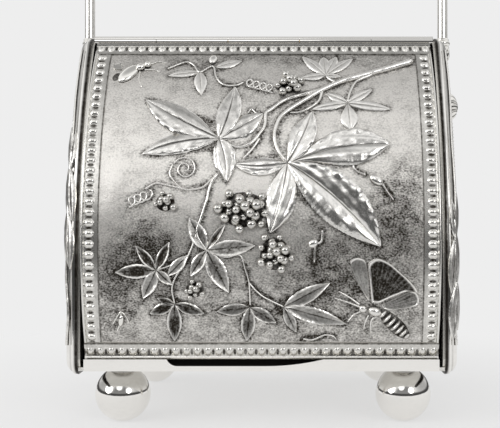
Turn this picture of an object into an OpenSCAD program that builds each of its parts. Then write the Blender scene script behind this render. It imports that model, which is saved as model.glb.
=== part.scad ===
// Biscuit box with a curved, hinged front lid, domed end panels, ball feet and a swing handle.
// Millimetres. X runs across the front, Y runs to the back and Z runs up from the table.

/* [Lid] */
// Width of the lid across its beaded border
lid_w = 150; // [130:1:170]
// Radius of the lid's outer face
lid_r = 125; // [118:1:135]
// Angle that the lid reaches below its foremost line
lid_low = 23; // [20:0.5:25]
// Angle that the lid reaches above its foremost line
lid_high = 45; // [41:0.5:47]
// Thickness of the lid sheet
lid_t = 1.5; // [1:0.1:2]
// How far the lid's foremost line stands in front of the end panels
lid_proud = 4.6; // [3:0.2:6]
// Gap between each side of the lid and the rim of the end panel
lid_gap = 2.5; // [2:0.1:3.5]
// Thickness of the lid's two side cheeks
cheek_t = 1.2; // [0.8:0.1:2]
// How far the cheeks reach in behind the front of the end panels
cheek_tuck = 8; // [6:0.5:10]

/* [Lid border] */
// Width of the beaded border
border_w = 7.5; // [6:0.5:9]
// Thickness of the border strip
border_t = 1; // [0.6:0.1:1.4]
// Radius of a border bead
bead_r = 1.4; // [1:0.1:1.6]
// Spacing of the border beads
bead_pitch = 4.48; // [4:0.02:6]
// Distance of the bead row from the outer edge of the border
bead_in = 2.6; // [2:0.1:3.2]

/* [Lid relief] */
// Height of the foliage above the lid
foliage_rise = 1.2; // [0.8:0.1:2]
// Radius of a berry
berry_r = 1.8; // [1.2:0.1:1.8]
// Spacing of the berries in a cluster
berry_step = 2.45; // [2.45:0.05:2.8]
// Width of the vine stem
stem_w = 2.4; // [1.5:0.1:3]

/* [End panels] */
// Depth of an end panel from front to back
panel_depth = 150; // [130:1:180]
// Thickness of the pressed sheet
panel_t = 1.2; // [0.8:0.1:1.6]
// Radius of the rounded edge that runs round the outer face
edge_r = 5.5; // [4.5:0.1:6]
// Width of the lip turned in round the open side
lip_w = 6; // [5:0.5:8]
// Radius of the front edge
front_r = 200; // [180:5:240]
// Height at which the front edge stands upright
front_tangent_z = 61; // [50:1:70]
// Radius of the lower corners
low_r = 7; // [6.5:0.5:9]
// Radius of the upper back corner
back_r = 14; // [10:1:20]
// Radius of the upper front corner
front_corner_r = 10; // [8:1:14]
// How far the end panels hang below the base
panel_drop = 2; // [1:0.5:2.5]
// Thickness of the flat inner lining
lining_t = 1; // [0.8:0.1:1.2]
// Height of the leaves on the outer faces
panel_leaf_rise = 2.2; // [1.4:0.1:2.8]
// Radius of a berry on the outer faces
panel_berry_r = 1.8; // [1.2:0.1:2]

/* [Body] */
// Height of the underside of the base above the table
foot_h = 25; // [20:0.5:32]
// Thickness of the base, back and top sheets
sheet_t = 1.5; // [1:0.1:2]
// Height of the front rail above the underside of the base
rail_h = 5; // [4.5:0.1:6]
// Thickness of the front rail
rail_t = 1.2; // [1:0.1:1.4]
// How far the front rail lies behind the front of the end panels
rail_set = 1.2; // [1:0.1:1.6]
// Length of the finger scoop in the rail
scoop_w = 66; // [50:1:90]
// Depth of the finger scoop
scoop_depth = 2.8; // [2:0.1:3.4]
// Distance of the scoop's middle from the middle of the rail
scoop_x = -7; // [-15:1:15]
// Radius of the scoop's steep left end
scoop_end_r = 5; // [4:0.5:10]
// Length of the scoop's long right slope
scoop_run = 24; // [10:1:30]
// Height of the strip that the closed lid rests against
stop_h = 7; // [5:0.5:9]
// Thickness of that strip
stop_t = 1.2; // [1:0.1:1.6]
// Radius of the half-round moulding along the front of the top
mould_r = 1.2; // [0.8:0.1:1.5]

/* [Lid hinge] */
// Length of the hinge
hinge_l = 97; // [60:1:110]
// Radius of the knuckles
knuckle_r = 1.5; // [1.4:0.1:1.8]
// Diameter of the hinge pin
pin_d = 1.6; // [1.2:0.1:1.8]
// Distance from the end of the lid sheet to the hinge axis
hinge_lead = 2.7; // [2.5:0.1:3.2]
// Width of a hinge leaf
leaf_w = 12; // [10:0.5:16]
// Thickness of a hinge leaf
leaf_t = 0.8; // [0.6:0.1:1]

/* [Feet] */
// Diameter of a ball foot
ball_d = 24.4; // [20:0.2:26]
// Depth of the flat that the ball stands on
ball_flat = 0.2; // [0.1:0.05:0.4]
// Diameter of the neck between the ball and the base
neck_d = 11; // [9:0.5:14]
// Distance of each foot's middle in from the side of the base
foot_side = 15.5; // [13:0.5:27]
// Distance of each foot's middle in from the front or back of the end panels
foot_end = 23; // [17:0.5:35]
// Diameter of the foot screws
screw_d = 4; // [3:0.5:5]
// Height of the foot screws' heads
screw_head_h = 1.6; // [1.2:0.1:2]

/* [Handle] */
// Distance of the pivots below the top of the end panels
pivot_drop = 27.6; // [24:0.2:36]
// Diameter of the pivot shafts
shaft_d = 4; // [3:0.2:5]
// Thickness of the flat lower part of each arm
strap_t = 2.4; // [2.4:0.1:3]
// Width of the flat lower part of each arm
strap_w = 8; // [6:0.5:10]
// Diameter of the eye round each pivot
eye_d = 13; // [10:0.5:15]
// Diameter of the rod
rod_d = 5; // [4:0.2:5.4]
// Height of the middle of the crossbar above the pivots
bail_h = 101; // [90:1:110]
// Radius of the two bends
bend_r = 22; // [15:1:30]
// Height of the lower end of the collars above the pivots
collar_low = 23; // [18:1:28]
// Length of the collars
collar_l = 11; // [10:0.5:14]
// Largest radius of the collars
collar_r = 3.6; // [3.5:0.1:4.4]
// Diameter of the rosette knobs
knob_d = 12.6; // [10:0.2:15]
// Height of the rosette knobs
knob_h = 6.2; // [5:0.2:10]

/* [Clearances] */
// Radial clearance of the hinge pin and the pivot shafts
run_clear = 0.05; // [0.02:0.01:0.1]
// Gap beside moving parts
side_clear = 0.3; // [0.2:0.05:0.5]
// Gap between the lower edge of the lid and the top of the rail
lid_drop_clear = 0.4; // [0.3:0.05:0.8]

/* [Hidden] */
$fn = 64;

// Colours
plate = "silver";
dark_plate = "darkgray";
inner_plate = "gainsboro";
screw_metal = "goldenrod";

// Small allowances for cuts that run past a face
past = 1;

// Front to back: the whole depth, relief included, is centred on the origin
bead_rise = border_t + 1.5 * bead_r;
relief_rise = max(bead_rise, 2 * berry_r);
overall_d = panel_depth + lid_proud + relief_rise;
panel_front = -overall_d / 2 + lid_proud + relief_rise;
panel_back = panel_front + panel_depth;
pivot_y = (panel_front + panel_back) / 2;

// Heights
rail_top = foot_h + rail_h;
base_top = foot_h + sheet_t;
panel_low = foot_h - panel_drop;
lid_axis_y = panel_front - lid_proud + lid_r;
lid_axis_z = rail_top + lid_drop_clear + lid_r * sin(lid_low);
hinge_a = lid_high + hinge_lead / lid_r * 180 / PI;
hinge_y = lid_axis_y - lid_r * cos(hinge_a);
hinge_z = lid_axis_z + lid_r * sin(hinge_a);
leaf_top_z = hinge_z + 0.75 * leaf_t;
panel_top = leaf_top_z + sheet_t;
pivot_z = panel_top - pivot_drop;

// Across: the rims of the end panels and what stacks outwards from them
half_w = lid_w / 2 + lid_gap;
foot_x = half_w - foot_side;
foot_y = panel_depth / 2 - foot_end;
face_x = half_w + edge_r;
lining_x = half_w - lining_t;
washer_t = collar_r - strap_t / 2 + 2 * side_clear - 2 * run_clear;
washer_x = face_x + washer_t;
strap_x = washer_x + 2 * run_clear;
knob_x = strap_x + strap_t + 2 * run_clear;
arm_x = strap_x + strap_t / 2;
nut_t = 2.6;
shaft_inner_x = face_x - panel_t - nut_t;

// Top sheet: its front edge clears the upper border of the lid as that swings over the hinge
top_front = hinge_y + hinge_lead + bead_r + side_clear;

// Outline of the end panels as arcs, each a centre, a radius and its first and last angle
low_front_c = [panel_front + low_r, panel_low + low_r];
low_back_c = [panel_back - low_r, panel_low + low_r];
top_back_c = [panel_back - back_r, panel_top - back_r];
front_c = [panel_front + front_r, front_tangent_z];
corner_dz = panel_top - front_corner_r - front_tangent_z;
corner_span = front_r - front_corner_r;
top_front_c = [front_c[0] - sqrt(corner_span ^ 2 - corner_dz ^ 2), panel_top - front_corner_r];
front_top_a = 180 - asin(corner_dz / corner_span);

function arc(c, r, a0, a1, first, n) =
    [for (i = [first:n]) c + r * [cos(a0 + (a1 - a0) * i / n), sin(a0 + (a1 - a0) * i / n)]];

// Outline of the end panels, drawn in by a distance d
back_steps = 8;
function outline(d) = concat(
    arc(low_back_c, low_r - d, -90, 0, 0, 6),
    arc(top_back_c, back_r - d, 0, 90, 0, back_steps),
    arc(top_front_c, front_corner_r - d, 90, front_top_a, 0, 5),
    arc(front_c, front_r - d, front_top_a, 180, 1, 16),
    arc(low_front_c, low_r - d, 180, 270, 0, 6));

// Section of the pressed panel: how far each ring is drawn in, and how far it stands out
edge_steps = 5;
inner_r = edge_r - panel_t;
function edge_section(r) =
    [for (i = [0:edge_steps]) [edge_r - r * cos(90 * i / edge_steps), r * sin(90 * i / edge_steps)]];
function reversed(list) = [for (i = [len(list) - 1:-1:0]) list[i]];
outer_section = edge_section(edge_r);
inner_section = [for (s = reversed(edge_section(inner_r))) if (s[1] > panel_t) s];
lip_section = [[panel_t, panel_t], [lip_w, panel_t], [lip_w, 0]];
section = concat(outer_section, inner_section, lip_section);
face_ring = len(outer_section) - 1;

// Foliage, in millimetres across from the middle and up along the lid from its lower edge,
// drawn for a lid of this width and length. Each spray is its centre and the tips of its leaflets.
drawn_w = 150;
drawn_len = 148.4;
lid_len = lid_r * (lid_low + lid_high) * PI / 180;
function placed(p) = [p[0] * lid_w / drawn_w, p[1] * lid_len / drawn_len];
sprays = [
    [[-18, 96], [[-49, 116], [-50, 90], [-12, 124], [0, 109], [-13, 72]]],
    [[11, 86], [[-11, 86], [3, 55], [48, 50], [54, 94], [22, 110]]],
    [[37, 114], [[28, 120], [22, 111], [49, 122], [56, 111], [38, 102]]],
    [[29, 129], [[19, 139], [29, 139], [41, 138], [18, 127]]],
    [[-27, 132], [[-41, 130], [-26, 119], [-21, 139], [-8, 138]]],
    [[-22, 49], [[-2, 49], [-13, 30], [-29, 35], [-29, 62], [-14, 58]]],
    [[-43, 40], [[-60, 38], [-53, 50], [-38, 51], [-29, 47], [-49, 28], [-37, 33]]],
    [[-36, 25], [[-52, 20], [-25, 21], [-37, 9]]],
    [[-4, 22], [[-18, 22], [6, 17], [-6, 10]]],
    [[11, 24], [[28, 34], [35, 17], [15, 17]]]];
stems = [
    [[66, 137], [50, 134], [40, 128], [29, 122], [17, 115], [8, 109], [0, 99], [-19, 77]],
    [[-19, 77], [-24, 62], [-22, 49], [-9, 46], [-5, 34], [-4, 22]],
    [[-5, 34], [4, 27], [11, 24]],
    [[-22, 49], [-34, 45], [-43, 40], [-36, 25]],
    [[17, 115], [29, 116], [37, 114]],
    [[40, 128], [29, 129]]];
// Berry clusters: their centres, and how many berries each has
cluster_at = [[-8, 63], [5, 46], [14, 124]];
cluster_count = [16, 14, 9];
// Butterfly: its middle, the ends of its body, and the tips and half widths of its wings
butterfly_at = [47, 24];
butterfly_head = [-2, 6];
butterfly_tail = [10, -13];
wing_tips = [[3, 21], [17, 8], [-8, 17], [15, 2]];
wing_half_w = [6, 6, 3.5, 4];
leaflet_ratio = 0.19;
field_margin = 0.3;
golden_turn = 137.508;

// Foliage of the end panels, in millimetres back from the middle and up from the lower edge,
// drawn for a panel of this depth and height. Each spray is its centre, then each leaflet's tip
// and half width.
drawn_depth = 150;
drawn_h = 148.6;
function on_panel(p) = [pivot_y + p[0] * panel_depth / drawn_depth,
    panel_low + p[1] * (panel_top - panel_low) / drawn_h];
panel_sprays = [
    [[-2, 55], [[[-42, 73], 7.5], [[-40, 33], 7], [[-2, 17], 7], [[36, 37], 7], [[36, 75], 7]]],
    [[48, 21], [[[62, 33], 3], [[64, 15], 3], [[40, 11], 2.5], [[52, 9], 2.5]]],
    [[-50, 19], [[[-64, 29], 3], [[-64, 11], 3], [[-42, 11], 2.5], [[-54, 9], 2.3]]]];
panel_stems = [
    [[-2, 55], [12, 37], [30, 25], [48, 21]],
    [[-2, 55], [-16, 39], [-34, 25], [-50, 19]]];
panel_stem_w = 1.8;
panel_hub_d = 4;
panel_cluster_at = [[18, 15], [-24, 14]];
panel_cluster_count = [10, 9];

module yz_plate(x0, x1) {
    translate([x0, 0, 0])
    rotate([90, 0, 90])
    linear_extrude(x1 - x0)
    children();
}

module rod_x(x0, x1, y, z, d) {
    translate([x0, y, z])
    rotate([0, 90, 0])
    cylinder(d = d, h = x1 - x0);
}

module left_side() {
    mirror([1, 0, 0])
    children();
}

// A curved piece about the lid's axis, between two radii, two angles and two places across
module lid_arc(r0, r1, a0, a1, x0, x1) {
    translate([0, lid_axis_y, lid_axis_z])
    rotate([90, 0, 270])
    rotate([0, 0, a0])
    rotate_extrude(angle = a1 - a0, $fn = 180)
    translate([r0, -x1])
    square([r1 - r0, x1 - x0]);
}

function lid_angle(v) = -lid_low + v / lid_r * 180 / PI;

// Stands a shape on the lid's axis so that its Z runs out through a point of the lid
module from_lid_axis(u, v) {
    translate([u, lid_axis_y, lid_axis_z])
    rotate([90 - lid_angle(v), 0, 0])
    children();
}

module end_panel() {
    points = [for (s = section) for (p = outline(s[0])) [half_w + s[1], p[0], p[1]]];
    n = len(outline(0));
    m = len(section);
    sides = [for (k = [0:m - 1]) if (k != face_ring) for (i = [0:n - 1])
        [k * n + i, k * n + (i + 1) % n, ((k + 1) % m) * n + (i + 1) % n, ((k + 1) % m) * n + i]];
    outer_face = [for (i = [0:n - 1]) face_ring * n + i];
    inner_face = [for (i = [n - 1:-1:0]) (face_ring + 1) * n + i];
    faces = concat(sides, [outer_face], [inner_face]);
    difference() {
        polyhedron(points = points, faces = [for (f = faces) reversed(f)]);
        rod_x(shaft_inner_x, face_x + past, pivot_y, pivot_z, shaft_d + 4 * run_clear);
    }
}

module right_end_panel() {
    color(plate)
    end_panel();
}

module left_end_panel() {
    color(plate)
    left_side()
    end_panel();
}

module lining() {
    yz_plate(lining_x, half_w)
    intersection() {
        polygon(outline(sheet_t));
        translate([panel_front, base_top])
        square([panel_depth, panel_top]);
    }
}

module right_lining() {
    color(inner_plate)
    lining();
}

module left_lining() {
    color(inner_plate)
    left_side()
    lining();
}

module each_foot() {
    for (sx = [-1, 1])
        for (sy = [-1, 1])
            translate([sx * foot_x, pivot_y + sy * foot_y, 0])
            children();
}

module base_plate() {
    base_front = panel_front + rail_set + rail_t;
    base_back = low_back_c[0] + sqrt((low_r - sheet_t) ^ 2 - (low_back_c[1] - foot_h) ^ 2);
    color(plate)
    difference() {
        translate([-half_w, base_front, foot_h])
        cube([2 * half_w, base_back - base_front, sheet_t]);
        each_foot()
        cylinder(d = screw_d + 2 * side_clear, h = base_top + past);
    }
}

module front_rail() {
    color(plate)
    difference() {
        translate([-lid_w / 2, panel_front + rail_set, foot_h])
        cube([lid_w, rail_t, rail_h]);
        translate([scoop_x, panel_front + rail_set + rail_t + past, rail_top - scoop_depth])
        rotate([90, 0, 0])
        linear_extrude(rail_t + 2 * past)
        scoop();
    }
}

// Outline of the finger scoop about its middle and up from its floor
module scoop() {
    end_run = sqrt(scoop_end_r ^ 2 - (scoop_end_r - scoop_depth) ^ 2);
    slope_r = (scoop_run ^ 2 + scoop_depth ^ 2) / (2 * scoop_depth);
    floor_left = -scoop_w / 2 + end_run;
    floor_right = scoop_w / 2 - scoop_run;
    translate([floor_left, 0])
    square([floor_right - floor_left, scoop_depth + past]);
    translate([floor_left, scoop_end_r])
    circle(r = scoop_end_r);
    translate([floor_right, slope_r])
    circle(r = slope_r, $fn = 360);
}

module lid_stop() {
    stop_front = lid_axis_y - (lid_r - lid_t) * cos(lid_low) + side_clear;
    stop_half = lid_w / 2 - cheek_t - 2 * side_clear;
    color(plate)
    translate([-stop_half, stop_front, base_top])
    cube([2 * stop_half, stop_t, stop_h]);
}

// Sheet that follows the back of the end panels up to the bend of the top
module back_panel() {
    color(plate)
    yz_plate(-half_w, half_w)
    intersection() {
        difference() {
            polygon(outline(0));
            polygon(outline(sheet_t));
        }
        translate([low_back_c[0], panel_low])
        square([low_r, top_back_c[1] - panel_low]);
    }
}

module top_plate() {
    color(plate)
    yz_plate(-half_w, half_w)
    polygon(concat(
        arc(top_back_c, back_r, 0, 90, 0, back_steps),
        [[top_front, panel_top], [top_front, leaf_top_z]],
        reversed(arc(top_back_c, back_r - sheet_t, 0, 90, 0, back_steps))));
}

module top_moulding() {
    color(plate)
    intersection() {
        rod_x(-half_w, half_w, top_front + mould_r, panel_top, 2 * mould_r);
        translate([-half_w, top_front, panel_top])
        cube([2 * half_w, 2 * mould_r, mould_r]);
    }
}

knuckle_l = hinge_l / 3;
knuckle_in = knuckle_l / 2 + side_clear / 2;

module pin_bore() {
    rod_x(-hinge_l, hinge_l, hinge_y, hinge_z, pin_d + 2 * run_clear);
}

module hinge_body_leaf() {
    plate_front = hinge_y + knuckle_r + side_clear;
    color(plate)
    difference() {
        union() {
            translate([-lining_x, plate_front, leaf_top_z - leaf_t])
            cube([2 * lining_x, leaf_w, leaf_t]);
            for (x0 = [-hinge_l / 2, knuckle_in]) {
                rod_x(x0, x0 + hinge_l / 2 - knuckle_in, hinge_y, hinge_z, 2 * knuckle_r);
                translate([x0, hinge_y, leaf_top_z - leaf_t])
                cube([hinge_l / 2 - knuckle_in, leaf_w, leaf_t]);
            }
            for (s = [0, 1])
                mirror([s, 0, 0])
                rolled_end();
        }
        pin_bore();
    }
}

// The leaf's edge beyond the knuckles, rolled to run on in line with them
module rolled_end() {
    roll_x = hinge_l / 2 + side_clear;
    rod_x(roll_x, lining_x, hinge_y, hinge_z, 2 * knuckle_r);
    translate([roll_x, hinge_y, leaf_top_z - leaf_t])
    cube([lining_x - roll_x, leaf_w, leaf_t]);
}

module hinge_lid_leaf() {
    knuckle_half = knuckle_l / 2 - side_clear / 2;
    leaf_r = lid_r - lid_t;
    tab_a = lid_high + side_clear / lid_r * 180 / PI;
    color(plate)
    difference() {
        union() {
            rod_x(-knuckle_half, knuckle_half, hinge_y, hinge_z, 2 * knuckle_r);
            lid_arc(leaf_r - leaf_t, leaf_r, lid_high - leaf_w / lid_r * 180 / PI, tab_a + 0.2,
                -knuckle_half, knuckle_half);
            lid_arc(leaf_r - leaf_t, lid_r - knuckle_r / 3, tab_a, hinge_a, -knuckle_half, knuckle_half);
        }
        pin_bore();
    }
}

module hinge_pin() {
    color(screw_metal)
    rod_x(-hinge_l / 2, hinge_l / 2, hinge_y, hinge_z, pin_d);
}

// Ball with a flat below and a neck above, bored for its screw
module ball_foot() {
    color(plate)
    difference() {
        union() {
            intersection() {
                translate([0, 0, ball_d / 2 - ball_flat])
                sphere(d = ball_d);
                translate([-ball_d, -ball_d, 0])
                cube(2 * ball_d);
            }
            translate([0, 0, ball_d / 2])
            cylinder(d = neck_d, h = foot_h - ball_d / 2);
        }
        translate([0, 0, ball_d / 2])
        cylinder(d = screw_d + 2 * run_clear, h = foot_h);
    }
}

module front_left_foot() {
    translate([-foot_x, pivot_y - foot_y, 0])
    ball_foot();
}

module front_right_foot() {
    translate([foot_x, pivot_y - foot_y, 0])
    ball_foot();
}

module rear_left_foot() {
    translate([-foot_x, pivot_y + foot_y, 0])
    ball_foot();
}

module rear_right_foot() {
    translate([foot_x, pivot_y + foot_y, 0])
    ball_foot();
}

module foot_screws() {
    shank_low = ball_d / 2 + side_clear;
    color(screw_metal)
    each_foot()
    union() {
        translate([0, 0, shank_low])
        cylinder(d = screw_d, h = base_top + screw_head_h - shank_low);
        translate([0, 0, base_top])
        cylinder(d = 2 * screw_d, h = screw_head_h);
    }
}

module pivot_washer() {
    difference() {
        rod_x(face_x, washer_x, pivot_y, pivot_z, eye_d - 2);
        rod_x(face_x - past, washer_x + past, pivot_y, pivot_z, shaft_d + 4 * run_clear);
    }
}

module right_pivot_washer() {
    color(plate)
    pivot_washer();
}

module left_pivot_washer() {
    color(plate)
    left_side()
    pivot_washer();
}

// Shaft, shoulder and domed head turned about the pivot
module rosette_knob() {
    flange_h = knob_h / 4;
    dome_h = knob_h - flange_h;
    dome_r = ((knob_d / 2) ^ 2 + dome_h ^ 2) / (2 * dome_h);
    dome_points = [for (i = [0:8]) let (a = asin(knob_d / 2 / dome_r) * (1 - i / 8))
        [dome_r * sin(a), knob_h - dome_r + dome_r * cos(a)]];
    profile = concat(
        [[0, shaft_inner_x - knob_x], [shaft_d / 2, shaft_inner_x - knob_x], [shaft_d / 2, 0]],
        [[knob_d / 2 - flange_h, 0], [knob_d / 2 - flange_h, flange_h]],
        dome_points);
    translate([knob_x, pivot_y, pivot_z])
    rotate([0, 90, 0])
    rotate_extrude()
    polygon(profile);
}

module right_rosette_knob() {
    color(plate)
    rosette_knob();
}

module left_rosette_knob() {
    color(plate)
    left_side()
    rosette_knob();
}

module pivot_nut() {
    difference() {
        translate([shaft_inner_x, pivot_y, pivot_z])
        rotate([0, 90, 0])
        cylinder(d = 2 * shaft_d, h = nut_t, $fn = 6);
        rod_x(shaft_inner_x - past, face_x, pivot_y, pivot_z, shaft_d + 2 * run_clear);
    }
}

module pivot_nuts() {
    color(screw_metal) {
        pivot_nut();
        left_side()
        pivot_nut();
    }
}

// Curved sheet with a crescent cheek at each side that tucks in behind the end panels' front edges
module lid_panel() {
    cheek_x = lid_w / 2 - cheek_t;
    color(dark_plate)
    union() {
        lid_arc(lid_r - lid_t, lid_r, -lid_low, lid_high, -lid_w / 2, lid_w / 2);
        for (x0 = [-lid_w / 2, cheek_x])
            difference() {
                lid_arc(lid_r / 2, lid_r - lid_t / 2, -lid_low, lid_high, x0, x0 + cheek_t);
                rod_x(x0 - past, x0 + cheek_t + past, front_c[0], front_c[1],
                    2 * (front_r - cheek_tuck), $fn = 180);
            }
    }
}

border_deg = border_w / lid_r * 180 / PI;
bead_deg = bead_in / lid_r * 180 / PI;
bead_seat_r = lid_r + bead_rise - bead_r;

module bead(x, a) {
    translate([x, lid_axis_y, lid_axis_z])
    rotate([90 - a, 0, 0])
    translate([0, 0, bead_seat_r])
    sphere(r = bead_r, $fn = 24);
}

// Strip across the lid, from angle a0 to a1, with its beads at angle a
module cross_border(a0, a1, a) {
    count = floor(lid_w / bead_pitch);
    step = lid_w / count;
    color(plate)
    union() {
        lid_arc(lid_r, lid_r + border_t, a0, a1, -lid_w / 2, lid_w / 2);
        for (i = [0:count - 1])
            bead(-lid_w / 2 + (i + 0.5) * step, a);
    }
}

module lid_border_top() {
    cross_border(lid_high - border_deg, lid_high, lid_high - bead_deg);
}

module lid_border_bottom() {
    cross_border(-lid_low, -lid_low + border_deg, -lid_low + bead_deg);
}

// Strip up one side of the lid, between the two cross strips
module side_border() {
    a0 = -lid_low + border_deg;
    a1 = lid_high - border_deg;
    length = (a1 - a0) * PI / 180 * lid_r;
    count = floor(length / bead_pitch);
    step = (a1 - a0) / count;
    color(plate)
    union() {
        lid_arc(lid_r, lid_r + border_t, a0, a1, lid_w / 2 - border_w, lid_w / 2);
        for (i = [0:count - 1])
            bead(lid_w / 2 - bead_in, a0 + (i + 0.5) * step);
    }
}

module lid_border_right() {
    side_border();
}

module lid_border_left() {
    left_side()
    side_border();
}

// An outline of points as drawn, spread to the lid's own width and length
module placed_outline(points) {
    polygon([for (p = points) placed(p)]);
}

module disc(at, r, sides) {
    placed_outline([for (i = [1:sides]) at + r * [cos(360 * i / sides), sin(360 * i / sides)]]);
}

// Pointed leaflet from one point to another; half width is its widest half
leaf_steps = 6;
function leaf_edge(half_width) =
    [for (i = [1:leaf_steps - 1]) [i / leaf_steps, half_width * sin(180 * (i / leaf_steps) ^ 1.2)]];
function leaf_points(from, along, across, edge) = concat([from],
    [for (e = edge) from + along * e[0] + across * e[1]],
    [from + along],
    [for (e = reversed(edge)) from + along * e[0] - across * e[1]]);
function square_to(along) = [-along[1], along[0]] / norm(along);

module leaflet(from, to, half_width) {
    placed_outline(leaf_points(from, to - from, square_to(to - from), leaf_edge(half_width)));
}

module stem_piece(from, to) {
    along = to - from;
    across = [-along[1], along[0]] / norm(along) * stem_w / 2;
    placed_outline([from + across, from - across, to - across, to + across]);
}

// Raises a flat outline, drawn about the middle of the field, through the lid
module through_lid() {
    from_lid_axis(0, field_mid)
    translate([0, 0, lid_r / 2])
    linear_extrude(lid_r)
    translate([0, -field_mid])
    children();
}

// Cuts raised outlines to a layer on the lid's field
module relief() {
    margin_deg = field_margin / lid_r * 180 / PI;
    half_field = lid_w / 2 - border_w - field_margin;
    intersection() {
        lid_arc(lid_r, lid_r + foliage_rise, -lid_low + border_deg + margin_deg,
            lid_high - border_deg - margin_deg, -half_field, half_field);
        children();
    }
}

function cluster_r(count) = berry_step * sqrt(count) + berry_r;
field_mid = lid_len / 2;

module lid_foliage() {
    color(plate)
    relief()
    difference() {
        union() {
            for (spray = sprays)
                for (tip = spray[1])
                    through_lid()
                    leaflet(spray[0], tip, leaflet_ratio * norm(tip - spray[0]) + stem_w / 4);
            for (stem = stems)
                for (i = [0:len(stem) - 2]) {
                    through_lid()
                    stem_piece(stem[i], stem[i + 1]);
                    through_lid()
                    disc(stem[i + 1], stem_w / 2, 12);
                }
        }
        for (k = [0:len(cluster_at) - 1])
            through_lid()
            disc(cluster_at[k], cluster_r(cluster_count[k]), 48);
    }
}

module lid_berries() {
    color(plate)
    for (k = [0:len(cluster_at) - 1])
        for (i = [0:cluster_count[k] - 1]) {
            reach = berry_step * sqrt(i + 0.5);
            at = placed(cluster_at[k] + reach * [cos(i * golden_turn), sin(i * golden_turn)]);
            from_lid_axis(at[0], at[1])
            translate([0, 0, lid_r + berry_r])
            sphere(r = berry_r, $fn = 24);
        }
}

module lid_butterfly() {
    color(plate)
    relief()
    union() {
        for (i = [0:len(wing_tips) - 1])
            through_lid()
            leaflet(butterfly_at, butterfly_at + wing_tips[i], wing_half_w[i]);
        through_lid()
        leaflet(butterfly_at + butterfly_head, butterfly_at + butterfly_tail, stem_w / 2);
    }
}

bail_z = pivot_z + bail_h;
rod_low = pivot_z + collar_low + collar_l / 2;

module handle_bail() {
    straight_x = arm_x - bend_r;
    color(plate)
    union() {
        rod_x(-straight_x, straight_x, pivot_y, bail_z, rod_d);
        for (s = [0, 1])
            mirror([s, 0, 0]) {
                translate([arm_x, pivot_y, rod_low])
                cylinder(d = rod_d, h = bail_z - bend_r - rod_low);
                translate([straight_x, pivot_y, bail_z - bend_r])
                rotate([90, 0, 0])
                rotate_extrude(angle = 90)
                translate([bend_r, 0])
                circle(d = rod_d);
            }
    }
}

tang_w = rod_d - 0.4;

// Flat lower arm with an eye at the pivot and a tang inside the collar
module handle_strap() {
    difference() {
        yz_plate(strap_x, strap_x + strap_t)
        translate([pivot_y, pivot_z])
        union() {
            circle(d = eye_d);
            translate([-strap_w / 2, 0])
            square([strap_w, collar_low]);
            translate([-tang_w / 2, 0])
            square([tang_w, collar_low + collar_l / 2]);
        }
        rod_x(strap_x - past, strap_x + strap_t + past, pivot_y, pivot_z, shaft_d + 2 * run_clear);
    }
}

module right_handle_strap() {
    color(plate)
    handle_strap();
}

module left_handle_strap() {
    color(plate)
    left_side()
    handle_strap();
}

// Turned collar that joins the rod to the flat arm
module leaf_collar() {
    neck_r = collar_r - 0.5;
    translate([arm_x, pivot_y, pivot_z + collar_low])
    difference() {
        rotate_extrude()
        polygon([[0, 0], [neck_r, 0], [collar_r, collar_l * 0.35], [neck_r, collar_l * 0.62],
            [collar_r, collar_l * 0.7], [collar_r, collar_l * 0.85], [neck_r, collar_l], [0, collar_l]]);
        translate([0, 0, collar_l / 2])
        cylinder(d = rod_d + 2 * run_clear, h = collar_l);
        translate([-strap_t / 2 - run_clear, -tang_w / 2 - run_clear, -past])
        cube([strap_t + 2 * run_clear, tang_w + 2 * run_clear, collar_l / 2 + 2 * past]);
    }
}

module right_leaf_collar() {
    color(plate)
    leaf_collar();
}

module left_leaf_collar() {
    color(plate)
    left_side()
    leaf_collar();
}

// A vine sprays over the middle of each outer face, clear of the swing of the handle
module panel_foliage() {
    yz_plate(face_x, face_x + panel_leaf_rise)
    union() {
        for (spray = panel_sprays) {
            panel_disc(spray[0], panel_hub_d);
            for (leaf = spray[1])
                panel_outline(leaf_points(spray[0], leaf[0] - spray[0], square_to(leaf[0] - spray[0]),
                    leaf_edge(leaf[1])));
        }
        for (stem = panel_stems)
            for (i = [0:len(stem) - 2]) {
                half = square_to(stem[i + 1] - stem[i]) * panel_stem_w / 2;
                panel_outline([stem[i] + half, stem[i] - half, stem[i + 1] - half, stem[i + 1] + half]);
                panel_disc(stem[i], panel_stem_w);
            }
    }
}

module panel_disc(at, d) {
    translate(on_panel(at))
    circle(d = d, $fn = 24);
}

module panel_outline(points) {
    polygon([for (p = points) on_panel(p)]);
}

module right_panel_foliage() {
    color(plate)
    panel_foliage();
}

module left_panel_foliage() {
    color(plate)
    left_side()
    panel_foliage();
}

module panel_berries() {
    step = 1.36 * panel_berry_r;
    for (k = [0:len(panel_cluster_at) - 1])
        for (i = [0:panel_cluster_count[k] - 1]) {
            reach = step * sqrt(i + 0.5);
            at = on_panel(panel_cluster_at[k]) + reach * [cos(i * golden_turn), sin(i * golden_turn)];
            translate([face_x + panel_berry_r, at[0], at[1]])
            sphere(r = panel_berry_r, $fn = 24);
        }
}

module right_panel_berries() {
    color(plate)
    panel_berries();
}

module left_panel_berries() {
    color(plate)
    left_side()
    panel_berries();
}

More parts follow.
